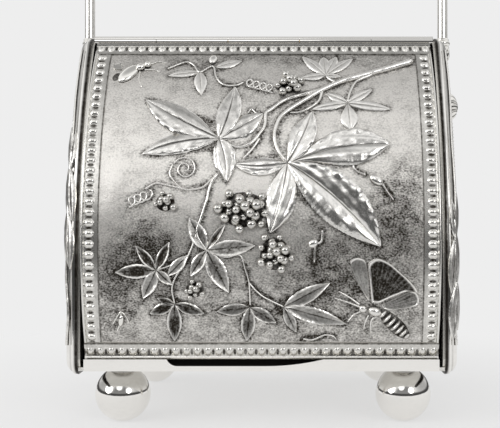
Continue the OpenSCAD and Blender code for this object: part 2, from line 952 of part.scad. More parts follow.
left_end_panel();
right_end_panel();
left_lining();
right_lining();
base_plate();
front_rail();
lid_stop();
back_panel();
top_plate();
top_moulding();
hinge_body_leaf();
hinge_pin();
front_left_foot();
front_right_foot();
rear_left_foot();
rear_right_foot();
foot_screws();
left_pivot_washer();
right_pivot_washer();
left_rosette_knob();
right_rosette_knob();
pivot_nuts();
lid_panel();
lid_border_top();
lid_border_bottom();
lid_border_left();
lid_border_right();
hinge_lid_leaf();
lid_foliage();
lid_berries();
lid_butterfly();
handle_bail();
left_handle_strap();
right_handle_strap();
left_leaf_collar();
right_leaf_collar();
left_panel_foliage();
right_panel_foliage();
left_panel_berries();
right_panel_berries();
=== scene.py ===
"""Dresses the silver-plated biscuit box: its chased lid, mouldings, end panels, feet and handle."""

import logging
import math
from dataclasses import dataclass
from enum import Enum
from typing import Callable, Iterable, Iterator, Protocol

import bmesh
import bpy
import numpy as np
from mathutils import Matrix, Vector


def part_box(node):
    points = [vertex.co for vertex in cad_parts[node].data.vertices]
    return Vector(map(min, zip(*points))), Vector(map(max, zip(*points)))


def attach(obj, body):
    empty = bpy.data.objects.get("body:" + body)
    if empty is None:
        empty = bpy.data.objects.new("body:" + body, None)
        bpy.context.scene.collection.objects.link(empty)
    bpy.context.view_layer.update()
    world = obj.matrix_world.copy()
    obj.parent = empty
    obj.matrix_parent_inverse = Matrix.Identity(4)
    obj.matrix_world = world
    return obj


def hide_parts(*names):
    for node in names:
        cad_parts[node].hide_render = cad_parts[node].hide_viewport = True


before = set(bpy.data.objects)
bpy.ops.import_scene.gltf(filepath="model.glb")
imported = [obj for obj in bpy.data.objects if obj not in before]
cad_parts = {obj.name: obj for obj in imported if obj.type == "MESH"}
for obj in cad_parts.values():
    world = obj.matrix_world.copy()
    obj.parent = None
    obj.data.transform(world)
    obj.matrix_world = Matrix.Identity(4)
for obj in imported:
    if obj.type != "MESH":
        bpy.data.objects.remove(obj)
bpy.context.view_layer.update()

LOG = logging.getLogger("biscuit_box")
MM = 0.001
SHARP_ANGLE = math.radians(42)
GOLDEN_ANGLE = math.pi * (3 - math.sqrt(5))
Array = np.ndarray
Point = tuple[float, float]
Patch = tuple[Array, Array, Array, Array]


def linear(colour: str) -> tuple[float, float, float, float]:
    """Turns an sRGB hex colour into linear light.

    Args:
        colour: A hash sign and six hex digits.

    Returns:
        Red, green and blue, with an alpha of 1.
    """
    shares = (int(colour[start:start + 2], 16) / 255 for start in (1, 3, 5))
    red, green, blue = (s / 12.92 if s <= 0.04045 else ((s + 0.055) / 1.055) ** 2.4 for s in shares)
    return red, green, blue, 1.0


def per_metre(size_mm: float) -> float:
    """Gives the texture scale at which one feature of a pattern is size_mm wide."""
    return 1 / (size_mm * MM)


def add_node(
    tree: bpy.types.NodeTree,
    kind: str,
    settings: dict[str, object] | None = None,
    inputs: dict[str | int, object] | None = None,
) -> bpy.types.Node:
    """Adds a shader node with its settings, and sets or links its inputs.

    Args:
        tree: Node tree that takes the node.
        kind: Type name of the node.
        settings: Properties of the node itself.
        inputs: Values, or the sockets that feed them, by the input's name or place.

    Returns:
        The new node.
    """
    node = tree.nodes.new(kind)
    for name, value in (settings or {}).items():
        setattr(node, name, value)
    for key, value in (inputs or {}).items():
        if isinstance(value, bpy.types.NodeSocket):
            tree.links.new(value, node.inputs[key])
        else:
            node.inputs[key].default_value = value
    return node


def eased(value: Array, start: float, end: float) -> Array:
    """Eases from 0 at start to 1 at end.

    Args:
        value: Numbers to ease.
        start: Where the rise begins.
        end: Where it is complete.

    Returns:
        The eased shares, one for each number.
    """
    share = np.clip((value - start) / (end - start), 0.0, 1.0)
    return share * share * (3 - 2 * share)


@dataclass(frozen=True)
class PlateFinish:
    """A metal surface, bright where rubbed and dark in its recesses and where shade is painted.

    Each pattern is a size in millimetres and a strength: a share of tarnish for clouds and specks, and a
    depth in millimetres for dents and grain. Patchiness says how strongly clouds and specks show where the
    metal is bright and where it is half tarnished. Each noise is a detail and a roughness.
    """

    name: str
    bright: str
    dark: str
    polish: float
    dull: float
    clouds: Point
    specks: Point
    dents: Point
    grain: Point
    streak: float = 1.0

    half_tarnished: float = 0.5
    patchiness: Point = (0.6, 1.6)
    noise_band: Point = (0.3, 0.7)
    stain_noise: Point = (4.0, 0.62)
    relief_noise: Point = (2.0, 0.6)

    def material(self) -> bpy.types.Material:
        """Makes the material the first time, and finds it again afterwards.

        Returns:
            The material.
        """
        made = bpy.data.materials.get(self.name)
        if made:
            return made
        made = bpy.data.materials.new(self.name)
        made.use_nodes = True
        tree = made.node_tree
        spot = add_node(tree, "ShaderNodeTexCoord").outputs["Object"]
        wiped = add_node(tree, "ShaderNodeMapping", None, {
            "Vector": spot, "Scale": (1 / self.streak, 1.0, 1.0)}).outputs["Vector"]
        # The share read here mixes tarnish in recesses with painted shade, shadow and reflection.
        tarnish = add_node(tree, "ShaderNodeAttribute", {"attribute_name": "tarnish_and_shade"}).outputs["Fac"]
        patchy = add_node(tree, "ShaderNodeMapRange", None, {
            "Value": tarnish, "From Max": self.half_tarnished,
            "To Min": self.patchiness[0], "To Max": self.patchiness[1]}).outputs["Result"]
        for size, share in (self.clouds, self.specks):
            noise = add_node(tree, "ShaderNodeTexNoise", None, {
                "Vector": wiped, "Scale": per_metre(size),
                "Detail": self.stain_noise[0], "Roughness": self.stain_noise[1]})
            tone_patch = add_node(tree, "ShaderNodeMapRange", None, {
                "Value": noise.outputs["Fac"],
                "From Min": self.noise_band[0], "From Max": self.noise_band[1],
                "To Min": -share / 2, "To Max": share / 2})
            tarnish = add_node(tree, "ShaderNodeMath", {"operation": "MULTIPLY_ADD", "use_clamp": True}, {
                0: tone_patch.outputs["Result"], 1: patchy, 2: tarnish}).outputs[0]
        colour = add_node(tree, "ShaderNodeMix", {"data_type": "RGBA"}, {
            0: tarnish, 6: linear(self.bright), 7: linear(self.dark)}).outputs[2]
        rough = add_node(tree, "ShaderNodeMapRange", None, {
            "Value": tarnish, "To Min": self.polish, "To Max": self.dull}).outputs["Result"]
        relief: dict[str | int, object] = {}
        for size, depth in (self.dents, self.grain):
            noise = add_node(tree, "ShaderNodeTexNoise", None, {
                "Vector": spot, "Scale": per_metre(size),
                "Detail": self.relief_noise[0], "Roughness": self.relief_noise[1]})
            bump = add_node(tree, "ShaderNodeBump", None, {
                "Strength": 1.0, "Distance": depth * MM, "Height": noise.outputs["Fac"], **relief})
            relief = {"Normal": bump.outputs["Normal"]}
        shader = tree.nodes["Principled BSDF"]
        shader.inputs["Metallic"].default_value = 1.0
        tree.links.new(colour, shader.inputs["Base Color"])
        tree.links.new(rough, shader.inputs["Roughness"])
        tree.links.new(relief["Normal"], shader.inputs["Normal"])
        return made


class Finish(Enum):
    """The finishes on the box."""

    # Electroplated silver, hand polished: mirror bright, with faint dents and fine wiping marks.
    # Its dark also serves for painted shade at the panels' rims and a painted reflection on the feet.
    POLISHED = PlateFinish(
        "silver_plate_polished", "#F4F2EE", "#2B2824", 0.06, 0.30, (9.0, 0.10), (1.2, 0.06),
        (16.0, 0.05), (0.9, 0.003), 3.0)
    # Electroplated silver, worn by the hand: bright, with a soft broken sheen.
    WORN = PlateFinish(
        "silver_plate_worn", "#F2F0EB", "#57524A", 0.20, 0.36, (5.0, 0.16), (1.0, 0.12),
        (3.5, 0.06), (1.0, 0.010))
    # Electroplated silver over chased work: bright on the high points, sooty brown in the cuts.
    # Its dark also stands for painted shade: under the berries, beside the bee and at the knobs' feet.
    CHASED = PlateFinish(
        "silver_plate_chased", "#F3F1EC", "#241F1A", 0.12, 0.40, (4.0, 0.10), (1.0, 0.08),
        (6.0, 0.04), (0.8, 0.006))
    # Electroplated silver, burnished over fine chasing: a soft shine that fades evenly over each leaf.
    # Its dark also serves for painted shade under leaf margins and on the stems' lower sides.
    BURNISHED = PlateFinish(
        "silver_plate_burnished", "#EDEBE7", "#2C2822", 0.23, 0.46, (4.0, 0.18), (0.8, 0.20),
        (4.0, 0.06), (0.8, 0.016))
    # Electroplated silver, frosted with a fine punch: pale and soft, with little shine.
    FROSTED = PlateFinish(
        "silver_plate_frosted", "#F0EEEA", "#4B473F", 0.34, 0.48, (3.5, 0.14), (1.0, 0.20),
        (5.0, 0.04), (0.8, 0.025))
    # Electroplated silver, stamped in a die: crisp and pale, with painted shade in the narrow gaps.
    STAMPED = PlateFinish(
        "silver_plate_stamped", "#E6E4DF", "#3A352E", 0.24, 0.46, (3.0, 0.20), (0.8, 0.28),
        (3.0, 0.04), (0.8, 0.020))
    # Electroplated silver, matted with a punch and left to darken: a soft grey, grainy sheen.
    # On the lid's ground its tone also carries painted shadow, painted reflection and a painted sheen.
    MATTED = PlateFinish(
        "silver_plate_matted", "#E8E5E0", "#332F29", 0.36, 0.50, (5.0, 0.40), (0.62, 0.66),
        (6.0, 0.18), (0.62, 0.14), 1.3)
    # Electroplated silver, brushed only: a soft even sheen inside the box.
    SATIN = PlateFinish(
        "silver_plate_satin", "#DAD7D0", "#7F786C", 0.26, 0.40, (14.0, 0.20), (1.5, 0.08),
        (20.0, 0.06), (0.6, 0.008), 4.0)
    # Near-black sheet: painted shadow behind the finger hollow, where the closed box is dark inside.
    OXIDISED = PlateFinish(
        "painted_shadow_black", "#1B1A19", "#0E0E0D", 0.45, 0.60, (6.0, 0.30), (1.5, 0.10),
        (12.0, 0.03), (0.8, 0.010))
    # Brass, turned and lacquered: warm yellow with a fine turned line.
    BRASS = PlateFinish(
        "brass_turned", "#C9A45A", "#6E5426", 0.20, 0.38, (4.0, 0.25), (0.9, 0.10),
        (8.0, 0.02), (0.5, 0.006))


class Shell:
    """Gathers closed surfaces into one mesh, with a share of tarnish and painted shade at each point."""

    def __init__(self) -> None:
        """Starts with nothing in the mesh."""
        self.points: list[Array] = []
        self.tarnish_and_shade_shares: list[Array] = []
        self.faces: list[list[int]] = []
        self.count = 0

    def add_rings(self, rings: Array, depth: Array | None = None, joined: bool = False) -> None:
        """Skins a row of closed rings and caps its ends.

        Args:
            rings: Points in metres, as rings by points by three.
            depth: Share of tarnish and painted shade at each point, from 0 to 1.
            joined: Whether the last ring meets the first, so that there are no ends.
        """
        rows, sides = rings.shape[:2]
        index = self.count + np.arange(rows * sides).reshape(rows, sides)
        row = np.vstack([index, index[:1]]) if joined else index
        here, there = row[:-1], row[1:]
        quads = np.stack([here, np.roll(here, -1, 1), np.roll(there, -1, 1), there], axis=-1)
        self.faces.extend(quads.reshape(-1, 4).tolist())
        if not joined:
            self.faces.append(index[0, ::-1].tolist())
            self.faces.append(index[-1].tolist())
        self.points.append(rings.reshape(-1, 3))
        self.tarnish_and_shade_shares.append(np.zeros(rows * sides) if depth is None else depth.reshape(-1))
        self.count += rows * sides

    def build(self, name: str, finish: Finish) -> bpy.types.Object:
        """Makes the gathered surfaces into one smooth object.

        Args:
            name: Name of the piece.
            finish: Finish that it gets.

        Returns:
            The new object, linked to the scene.
        """
        mesh = bpy.data.meshes.new(name)
        mesh.from_pydata(np.concatenate(self.points).tolist(), [], self.faces)
        depth = mesh.attributes.new("tarnish_and_shade", "FLOAT", "POINT")
        depth.data.foreach_set("value", np.concatenate(self.tarnish_and_shade_shares).astype(np.float32))
        skin = bmesh.new()
        skin.from_mesh(mesh)
        bmesh.ops.recalc_face_normals(skin, faces=skin.faces)
        skin.to_mesh(mesh)
        skin.free()
        mesh.shade_smooth()
        mesh.set_sharp_from_angle(angle=SHARP_ANGLE)
        mesh.materials.append(finish.value.material())
        piece = bpy.data.objects.new(name, mesh)
        bpy.context.scene.collection.objects.link(piece)
        return piece


class Body(Enum):
    """The bodies that pieces ride on."""

    CARCASS = "carcass"
    LID = "lid"
    HANDLE = "handle"


class Slot(Enum):
    """The record's material slots, one passed with each dressed piece."""

    SILVER = "silver_plate"
    FIELD = "oxidised_field"


class Side(Enum):
    """The box's two ends."""

    LEFT = -1
    RIGHT = 1

    def named(self, piece: str) -> str:
        """Gives the name of the piece on this side."""
        return f"{self.name.lower()}_{piece}"


def seat(piece: bpy.types.Object, body: Body, slot: Slot, *nodes: str) -> None:
    """Puts a piece on its body and hides the solids that it replaces.

    Args:
        piece: The piece to seat.
        body: Body that it moves with.
        slot: Material slot of the record that its finish belongs to; not used.
        nodes: Solids that it replaces.
    """
    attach(piece, body.value)
    if nodes:
        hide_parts(*nodes)
    LOG.info("%s rides on %s with %d faces", piece.name, body.value, len(piece.data.polygons))


def box_mm(node: str) -> tuple[Vector, Vector]:
    """Gives the low and high corners of a solid's box, in millimetres."""
    low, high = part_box(node)
    return low / MM, high / MM


class Surface(Protocol):
    """A face of the box that relief can be laid on."""

    def place(self, u: Array, v: Array, h: Array) -> Array:
        """Turns places on the face and heights over it, in millimetres, into points in metres."""


class Relief(Protocol):
    """Work that can be raised on a face of the box."""

    def patches(self) -> Iterator[Patch]:
        """Gives closed surfaces: places on the face, heights, and shares of tarnish and painted shade."""


def carved(*layers: tuple[Surface, Iterable[Relief]]) -> Shell:
    """Raises relief on faces of the box.

    Args:
        layers: Faces, each with the work that lies on it.

    Returns:
        One shell with all the work.
    """
    shell = Shell()
    for surface, works in layers:
        for work in works:
            for u, v, height, depth in work.patches():
                shell.add_rings(surface.place(u, v, height), depth)
    return shell


def stacked(x: Array, y: Array, z: Array) -> Array:
    """Stacks three coordinates in millimetres into points in metres."""
    return np.stack(np.broadcast_arrays(x, y, z), axis=-1) * MM


def full_turn(sides: int) -> Array:
    """Gives angles evenly round a whole turn, as one row."""
    return np.linspace(0, 2 * math.pi, sides, endpoint=False)[None, :]


def stepped_aside(path: Array, heading: Array, across: Array) -> tuple[Array, Array]:
    """Steps to the left from the points of a path.

    Args:
        path: Points along the path.
        heading: Direction of the path at each point.
        across: Distances to step, as a row for each point.

    Returns:
        Places across and up the face.
    """
    left = np.stack([-heading[:, 1], heading[:, 0]], axis=-1)
    left /= np.linalg.norm(left, axis=1)[:, None]
    spot = path[:, None, :] + left[:, None, :] * across[:, :, None]
    return spot[..., 0], spot[..., 1]


@dataclass(frozen=True)
class LidCurve:
    """The lid's outer face, measured across it and up along its curve from the bottom edge."""

    radius: float
    axis_y: float
    axis_z: float
    half_width: float
    low_angle: float = math.radians(-23)
    high_angle: float = math.radians(45)

    @classmethod
    def from_frame(cls) -> "LidCurve":
        """Works the curve out from the lid's solid.

        Returns:
            The curve of the outer face.
        """
        low, high = box_mm("lid_panel")
        radius = (high.z - low.z) / (math.sin(cls.high_angle) - math.sin(cls.low_angle))
        return cls(radius, low.y + radius, low.z - radius * math.sin(cls.low_angle), high.x)

    @property
    def length(self) -> float:
        """Length of the face along its curve."""
        return self.radius * (self.high_angle - self.low_angle)

    def place(self, u: Array, v: Array, h: Array) -> Array:
        """Turns places on the lid and heights over it into points.

        Args:
            u: Millimetres to the right of the middle.
            v: Millimetres up the curve from the bottom edge.
            h: Millimetres out from the face.

        Returns:
            Points in metres.
        """
        angle = self.low_angle + v / self.radius
        reach = self.radius + h
        return stacked(u, self.axis_y - reach * np.cos(angle), self.axis_z + reach * np.sin(angle))


@dataclass(frozen=True)
class LeafWork:
    """How leaves are worked: heights in millimetres, and dome, pillow and tooth as shares of the width."""

    finish: Finish
    lift: float
    dome: float
    pillow: float
    groove: float
    vein: float
    dent: float
    tooth: float
    margin: float
    shade: float


class LeafForm(Enum):
    """The ways in which leaves are worked on the box."""

    RAISED = LeafWork(Finish.BURNISHED, 1.05, 0.03, 0.035, 0.25, 0.012, 0.14, 0.035, 0.8, 0.0)
    LOW = LeafWork(Finish.FROSTED, 0.8, 0.03, 0.025, 0.16, 0.02, 0.05, 0.06, 0.2, 0.0)
    SOFT = LeafWork(Finish.BURNISHED, 0.7, 0.06, 0.05, 0.25, 0.02, 0.06, 0.03, 0.4, 0.5)
    HOLLOW = LeafWork(Finish.BURNISHED, 1.5, -0.18, 0.015, 0.10, 0.02, 0.08, 0.07, 0.2, 0.45)


@dataclass(frozen=True)
class Blade:
    """One leaflet: where it ends, how wide it is, and how it is bent.

    Bow is its sideways bend as a share of its length, fold and tilt are slopes of its halves and of the
    whole, curl is how far its tip stands up, and raised says which margin is turned up: 1 is the left one.
    """

    tip: Point
    width: float
    wide_at: float = 0.48
    bow: float = 0.0
    fold: float = 0.0
    tilt: float = 0.0
    curl: float = 0.0
    raised: int = 0
    base: Point | None = None


@dataclass(frozen=True)
class Spray:
    """Leaflets that spread from one point.

    Pitches, widths and heights are in millimetres. Each pair that is called a fade gives the shares of the
    way from a leaflet's rib to its margin over which something comes or goes. Variety and unlike keep the
    dents and frills of different leaflets, and of one leaflet, out of step.
    """

    name: str
    form: LeafForm
    base: Point
    blades: tuple[Blade, ...]
    shade: float | None = None

    step: float = 0.45
    least_rows: int = 14
    least_columns: int = 6
    tooth_pitch: float = 2.1
    fullness: float = 0.85
    tip_share: float = 0.035
    root_lift: float = 0.4
    rib_width: float = 0.26
    rib_shade: float = 0.7
    vein_pitch: float = 3.6
    vein_slant: float = 1.1
    vein_width: float = 0.15
    vein_start_fade: Point = (0.04, 0.2)
    vein_end_fade: Point = (0.8, 1.0)
    vein_shade: float = 0.12
    dent_pitch: Point = (10.0, 7.5)
    dent_slant: Point = (1.4, 0.45)
    variety: Point = (0.37, 0.21)
    unlike: Point = (1.3, 0.57)
    frill_pitch: float = 5.2
    frill_shares: Point = (0.35, 0.3)
    raised_fade: Point = (0.5, 1.0)
    pressed_fade: Point = (0.4, 1.0)
    pressed: float = 0.7
    pressed_shade: float = 0.2
    shade_fade: Point = (0.62, 0.9)
    rolled: float = 0.3
    rolled_fade: Point = (0.86, 1.0)
    least_height: float = 0.25
    skirt_in: float = 0.86
    sunk: float = 0.05

    def patches(self) -> Iterator[Patch]:
        """Gives every leaflet."""
        return map(self.leaflet, self.blades)

    def leaflet(self, blade: Blade) -> Patch:
        """Shapes one leaflet, creased down its middle, with a skirt down to the ground.

        Args:
            blade: The leaflet.

        Returns:
            Its surface.
        """
        root = np.array(blade.base or self.base)
        along = np.array(blade.tip) - root
        length = float(np.hypot(*along))
        forward = along / length
        side = np.array([-forward[1], forward[0]])
        rows = max(self.least_rows, round(length / self.step))
        columns = max(self.least_columns, round(blade.width / self.step / 2))
        s = np.linspace(0, 1, rows)[:, None]
        t = np.linspace(-1, 1, 2 * columns + 1)[None, :]
        run = s * length
        bulge = np.sin(np.pi * s ** (math.log(0.5) / math.log(blade.wide_at))).clip(0, 1)
        teeth = self.form.value.tooth * (run / self.tooth_pitch % 1.0 - 0.5)
        half = blade.width / 2 * (self.tip_share + bulge ** self.fullness * (1 + teeth))
        bend = 4 * blade.bow * length
        centre = root + forward * run + side * bend * s * (1 - s)
        heading = forward * length + side * bend * (1 - 2 * s)
        height, depth = self.worked(blade, run, s, t, np.sqrt(bulge), half)
        skirt = np.array([[1.0, -1.0]]) * half * self.skirt_in
        rise = np.hstack([height.clip(self.least_height), np.full_like(skirt, -self.sunk)])
        # The skirt under the margins is painted fully dark, as shade under the leaflet's edge.
        tarnish_and_skirt_shade = np.hstack([depth, np.ones_like(skirt)])
        return *stepped_aside(centre, heading, np.hstack([t * half, skirt])), rise, tarnish_and_skirt_shade.clip(0, 1)

    def worked(
        self, blade: Blade, run: Array, s: Array, t: Array, swell: Array, half: Array
    ) -> tuple[Array, Array]:
        """Shapes the top of a leaflet.

        Args:
            blade: The leaflet.
            run: Millimetres along it.
            s: Shares of its length.
            t: Shares of its half width, from -1 at the right margin to 1 at the left.
            swell: How full it is at each share of its length.
            half: Its half width there.

        Returns:
            Heights over the face, and shares of tarnish and painted shade.
        """
        work = self.form.value
        out, off = t * half, np.abs(t)
        rib = np.exp(-(out / self.rib_width) ** 2) * (1 - s ** 4)
        slant = (run - self.vein_slant * np.abs(out)) / self.vein_pitch % 1.0 - 0.5
        vein = np.exp(-(slant / self.vein_width) ** 2) * swell
        vein = vein * eased(off, *self.vein_start_fade) * (1 - eased(off, *self.vein_end_fade))
        phase = self.variety[0] * blade.tip[0] + self.variety[1] * blade.tip[1]
        dents = np.sin(2 * math.pi * (run + self.dent_slant[0] * out) / self.dent_pitch[0] + phase)
        cross = 2 * math.pi * (out - self.dent_slant[1] * run) / self.dent_pitch[1]
        dents = dents * np.sin(cross + self.unlike[0] * phase)
        wave = 2 * math.pi * run / self.frill_pitch + phase
        frill = 1 + self.frill_shares[0] * np.sin(wave)
        frill = frill + self.frill_shares[1] * np.sin(self.unlike[1] * wave + phase)
        turned_up = eased(blade.raised * t, *self.raised_fade) * swell * frill
        turned_down = eased(-blade.raised * t, *self.pressed_fade) * swell
        height = work.lift * (self.root_lift + (1 - self.root_lift) * swell) + blade.curl * s ** 2
        height = height + blade.width * swell * work.dome * (1 - t ** 2)
        height = height + blade.width * swell * work.pillow * (1 - (2 * off - 1) ** 2)
        height = height + half * (blade.fold * off + blade.tilt * t) + work.dent * swell * dents
        height = height + work.margin * (turned_up - self.pressed * turned_down)
        height = height - work.groove * rib - work.vein * vein
        height = height - self.rolled * work.lift * eased(off, *self.rolled_fade)
        shade = work.shade if self.shade is None else self.shade
        depth = self.rib_shade * rib + self.vein_shade * vein + self.pressed_shade * turned_down
        depth = depth + shade * (1 - eased(off, *self.shade_fade)) * swell
        return height, depth


def smooth_path(points: tuple[Point, ...], step: float) -> Array:
    """Runs a smooth curve through chosen points.

    Args:
        points: The points, in order.
        step: Distance between the curve's own points.

    Returns:
        The curve's points.
    """
    fixed = np.array(points, float)
    guides = np.vstack([2 * fixed[0] - fixed[1], fixed, 2 * fixed[-1] - fixed[-2]])
    runs = []
    for a, b, c, d in zip(guides, guides[1:], guides[2:], guides[3:]):
        count = max(2, round(float(np.linalg.norm(c - b)) / step))
        t = np.linspace(0, 1, count, endpoint=False)[:, None]
        bend = (2 * a - 5 * b + 4 * c - d) * t ** 2 + (3 * b - a - 3 * c + d) * t ** 3
        runs.append(b + 0.5 * ((c - a) * t + bend))
    return np.vstack([*runs, fixed[-1:]])


def coil(start: Point, end: Point, loops: float, radius: float) -> tuple[Point, ...]:
    """Draws a tendril that coils along a line.

    Args:
        start: Middle of the first loop.
        end: Middle of the last loop.
        loops: Number of loops.
        radius: Radius of each loop.

    Returns:
        Points along the tendril.
    """
    share = np.linspace(0, 1, round(loops * 10))
    turn = 2 * math.pi * loops * share
    u = start[0] + (end[0] - start[0]) * share + radius * np.sin(turn)
    v = start[1] + (end[1] - start[1]) * share - radius * np.cos(turn)
    return tuple(zip(u.tolist(), v.tolist()))


def spiral(centre: Point, outer: float, inner: float, turns: float, first: float) -> tuple[Point, ...]:
    """Draws a tendril that winds inwards.

    Args:
        centre: Middle of the spiral.
        outer: Radius at its start.
        inner: Radius at its end.
        turns: Turns between them.
        first: Angle of its start, in degrees.

    Returns:
        Points along the tendril.
    """
    share = np.linspace(0, 1, round(turns * 12))
    angle = math.radians(first) - 2 * math.pi * turns * share
    radius = outer + (inner - outer) * share
    u, v = centre[0] + radius * np.cos(angle), centre[1] + radius * np.sin(angle)
    return tuple(zip(u.tolist(), v.tolist()))


@dataclass(frozen=True)
class Stem:
    """A stem or tendril through chosen points, thick at its start and thin at its end.

    Its bark is fluted and has knots: each has a share of the bark, and knots come and go at two rates in
    radians to the millimetre. Its axis lies clear of the ground, and higher the thicker it is.
    """

    route: tuple[Point, ...]
    start_r: float
    end_r: float
    bark: float = 0.06

    step: float = 0.5
    sides: int = 12
    flutes: int = 3
    flute_twist: float = 0.3
    flute_share: float = 0.25
    knot_rates: Point = (0.8, 0.37)
    knot_share: float = 0.7
    blunt: float = 0.05
    clear: float = 0.2
    proud: float = 0.45
    shade: float = 0.9
    shade_from: Point = (-0.25, 0.6)

    def patches(self) -> Iterator[Patch]:
        """Shapes the stem, sunk a little into the ground.

        Yields:
            Its surface.
        """
        path = smooth_path(self.route, self.step)
        heading = np.gradient(path, axis=0)
        run = np.cumsum(np.linalg.norm(heading, axis=1))[:, None]
        turn = full_turn(self.sides)
        mean = self.start_r + (self.end_r - self.start_r) * run / run[-1]
        ends = np.sqrt(np.clip(np.minimum(run, run[-1] - run) / mean, self.blunt, 1.0))
        flutes = self.flute_share * np.sin(self.flutes * turn + self.flute_twist * run)
        knots = self.knot_share * np.sin(self.knot_rates[0] * run) * np.sin(self.knot_rates[1] * run)
        radius = mean * ends * (1 + self.bark * (flutes + knots))
        height = self.clear + self.proud * mean + radius * np.sin(turn)
        # Painted shade: each stem is darker on its lower side.
        depth = self.shade * eased(-np.sin(turn) + 0 * radius, *self.shade_from)
        yield *stepped_aside(path, heading, radius * np.cos(turn)), height, depth


@dataclass(frozen=True)
class Egg:
    """A ball or an egg shape: its middle, its radii along, across and upwards, and its turn in degrees.

    Tarnish is the least share on it. Its underside is painted darker, as shade, by how far it faces down.
    """

    at: Point
    height: float
    radii: tuple[float, float, float]
    heading: float = 0.0
    tarnish: float = 0.0

    rows: int = 13
    sides: int = 20
    pole: float = 0.12
    underside: Point = (-0.25, 0.3)

    def patches(self) -> Iterator[Patch]:
        """Shapes the egg.

        Yields:
            Its surface.
        """
        polar = np.linspace(self.pole, math.pi - self.pole, self.rows)[:, None]
        turn = full_turn(self.sides)
        along = self.radii[0] * np.sin(polar) * np.cos(turn)
        across = self.radii[1] * np.sin(polar) * np.sin(turn)
        height = self.height + self.radii[2] * np.cos(polar) + 0 * turn
        cosine, sine = math.cos(math.radians(self.heading)), math.sin(math.radians(self.heading))
        u = self.at[0] + along * cosine - across * sine
        v = self.at[1] + along * sine + across * cosine
        yield u, v, height, eased(-np.cos(polar) + 0 * turn, *self.underside).clip(self.tarnish)


@dataclass(frozen=True)
class Wing:
    """An insect's wing: a thin plate with ribs that spread from its root and a thick bright rim.

    Rows run from the middle to the edge: a first share, a last share and a count.
    """

    outline: tuple[Point, ...]
    root: Point
    ribs: int
    lift: float = 0.75
    rim: float = 0.75
    shade: float = 1.0

    step: float = 0.5
    plate_rows: tuple[float, float, int] = (0.04, 0.8, 16)
    rim_rows: tuple[float, float, int] = (0.84, 1.0, 7)
    plate_fade: Point = (0.84, 0.93)
    crest_rise: Point = (0.86, 0.95)
    crest_fall: Point = (0.97, 1.0)
    crest_drop: float = 0.7
    rib_height: float = 0.06
    rib_bright: float = 0.16
    rib_top: Point = (0.6, 1.0)
    foot: float = 0.94
    sunk: float = 0.05

    def patches(self) -> Iterator[Patch]:
        """Shapes the wing, with a skirt down to the ground.

        Yields:
            Its surface.
        """
        edge = smooth_path(self.outline + self.outline[:1], self.step)[:-1]
        middle = edge.mean(axis=0)
        share = np.concatenate([np.linspace(*self.plate_rows), np.linspace(*self.rim_rows)])[:, None]
        spot = middle + share[..., None] * (edge - middle)
        from_root = spot - np.array(self.root)
        fan = np.sin(self.ribs * np.arctan2(from_root[..., 1], from_root[..., 0]))
        inner = 1 - eased(share, *self.plate_fade)
        crest = eased(share, *self.crest_rise) * (1 - self.crest_drop * eased(share, *self.crest_fall))
        height = self.lift + self.rim * crest + self.rib_height * fan * inner
        depth = self.shade * (1 - self.rib_bright * eased(fan, *self.rib_top)) * inner
        spot = np.concatenate([spot, (middle + self.foot * (edge - middle))[None]])
        height = np.vstack([height, np.full((1, len(edge)), -self.sunk)])
        # The skirt round the wing is painted fully dark, as shade under its rim.
        depth = np.vstack([depth, np.ones((1, len(edge)))])
        yield spot[..., 0], spot[..., 1], height, depth


@dataclass(frozen=True)
class BerryCluster:
    """Polished berries heaped in two layers over a hollow painted dark, as shade in the gaps between them.

    The hollow has a share of the heap's reach, and the height of its middle and of its dome. Ragged and
    uneven are how far berries stray from their places and their size, each at a rate of its own.
    """

    name: str
    centre: Point
    count: int
    upper: int
    radius: float
    stretch: Point = (1.0, 1.0)

    spread: float = 1.06
    tarnish: float = 0.3
    hollow_share: float = 0.86
    hollow_rise: Point = (0.1, 0.45)
    hollow_gap_shade: float = 0.95
    layer_turn: float = 0.9
    layer_rise: float = 1.3
    first_place: float = 0.4
    ragged: Point = (0.14, 5.1)
    uneven: Point = (0.16, 2.7)
    proud: float = 0.9

    def patches(self) -> Iterator[Patch]:
        """Shapes the hollow and the berries, each a little out of line.

        Yields:
            Their surfaces.
        """
        extent = self.hollow_share * self.spread * self.radius * math.sqrt(self.count)
        base, dome = self.hollow_rise
        hollow = (extent * self.stretch[0], extent * self.stretch[1], dome)
        yield from Egg(self.centre, base, hollow, tarnish=self.hollow_gap_shade).patches()
        for layer, count in enumerate((self.count, self.upper)):
            for place in range(count):
                yield from self.berry(layer, place).patches()

    def berry(self, layer: int, place: int) -> Egg:
        """Gives one berry.

        Args:
            layer: Layer that it is in, from the ground up.
            place: Its place in the layer, from the middle outwards.

        Returns:
            The berry.
        """
        angle = GOLDEN_ANGLE * place + self.layer_turn * layer
        stray = self.ragged[0] * self.radius * math.sin(self.ragged[1] * place)
        reach = self.spread * self.radius * math.sqrt(place + self.first_place) + stray
        size = self.radius * (1.0 + self.uneven[0] * math.sin(self.uneven[1] * place + layer))
        at = (
            self.centre[0] + self.stretch[0] * reach * math.cos(angle),
            self.centre[1] + self.stretch[1] * reach * math.sin(angle))
        height = self.proud * size + self.layer_rise * self.radius * layer
        return Egg(at, height, (size, size, size), tarnish=self.tarnish)


@dataclass(frozen=True)
class TonePatch:
    """A patch of tarnish and painted reflection on the ground; a negative share paints a sheen instead."""

    centre: Point
    reach: Point
    share: float


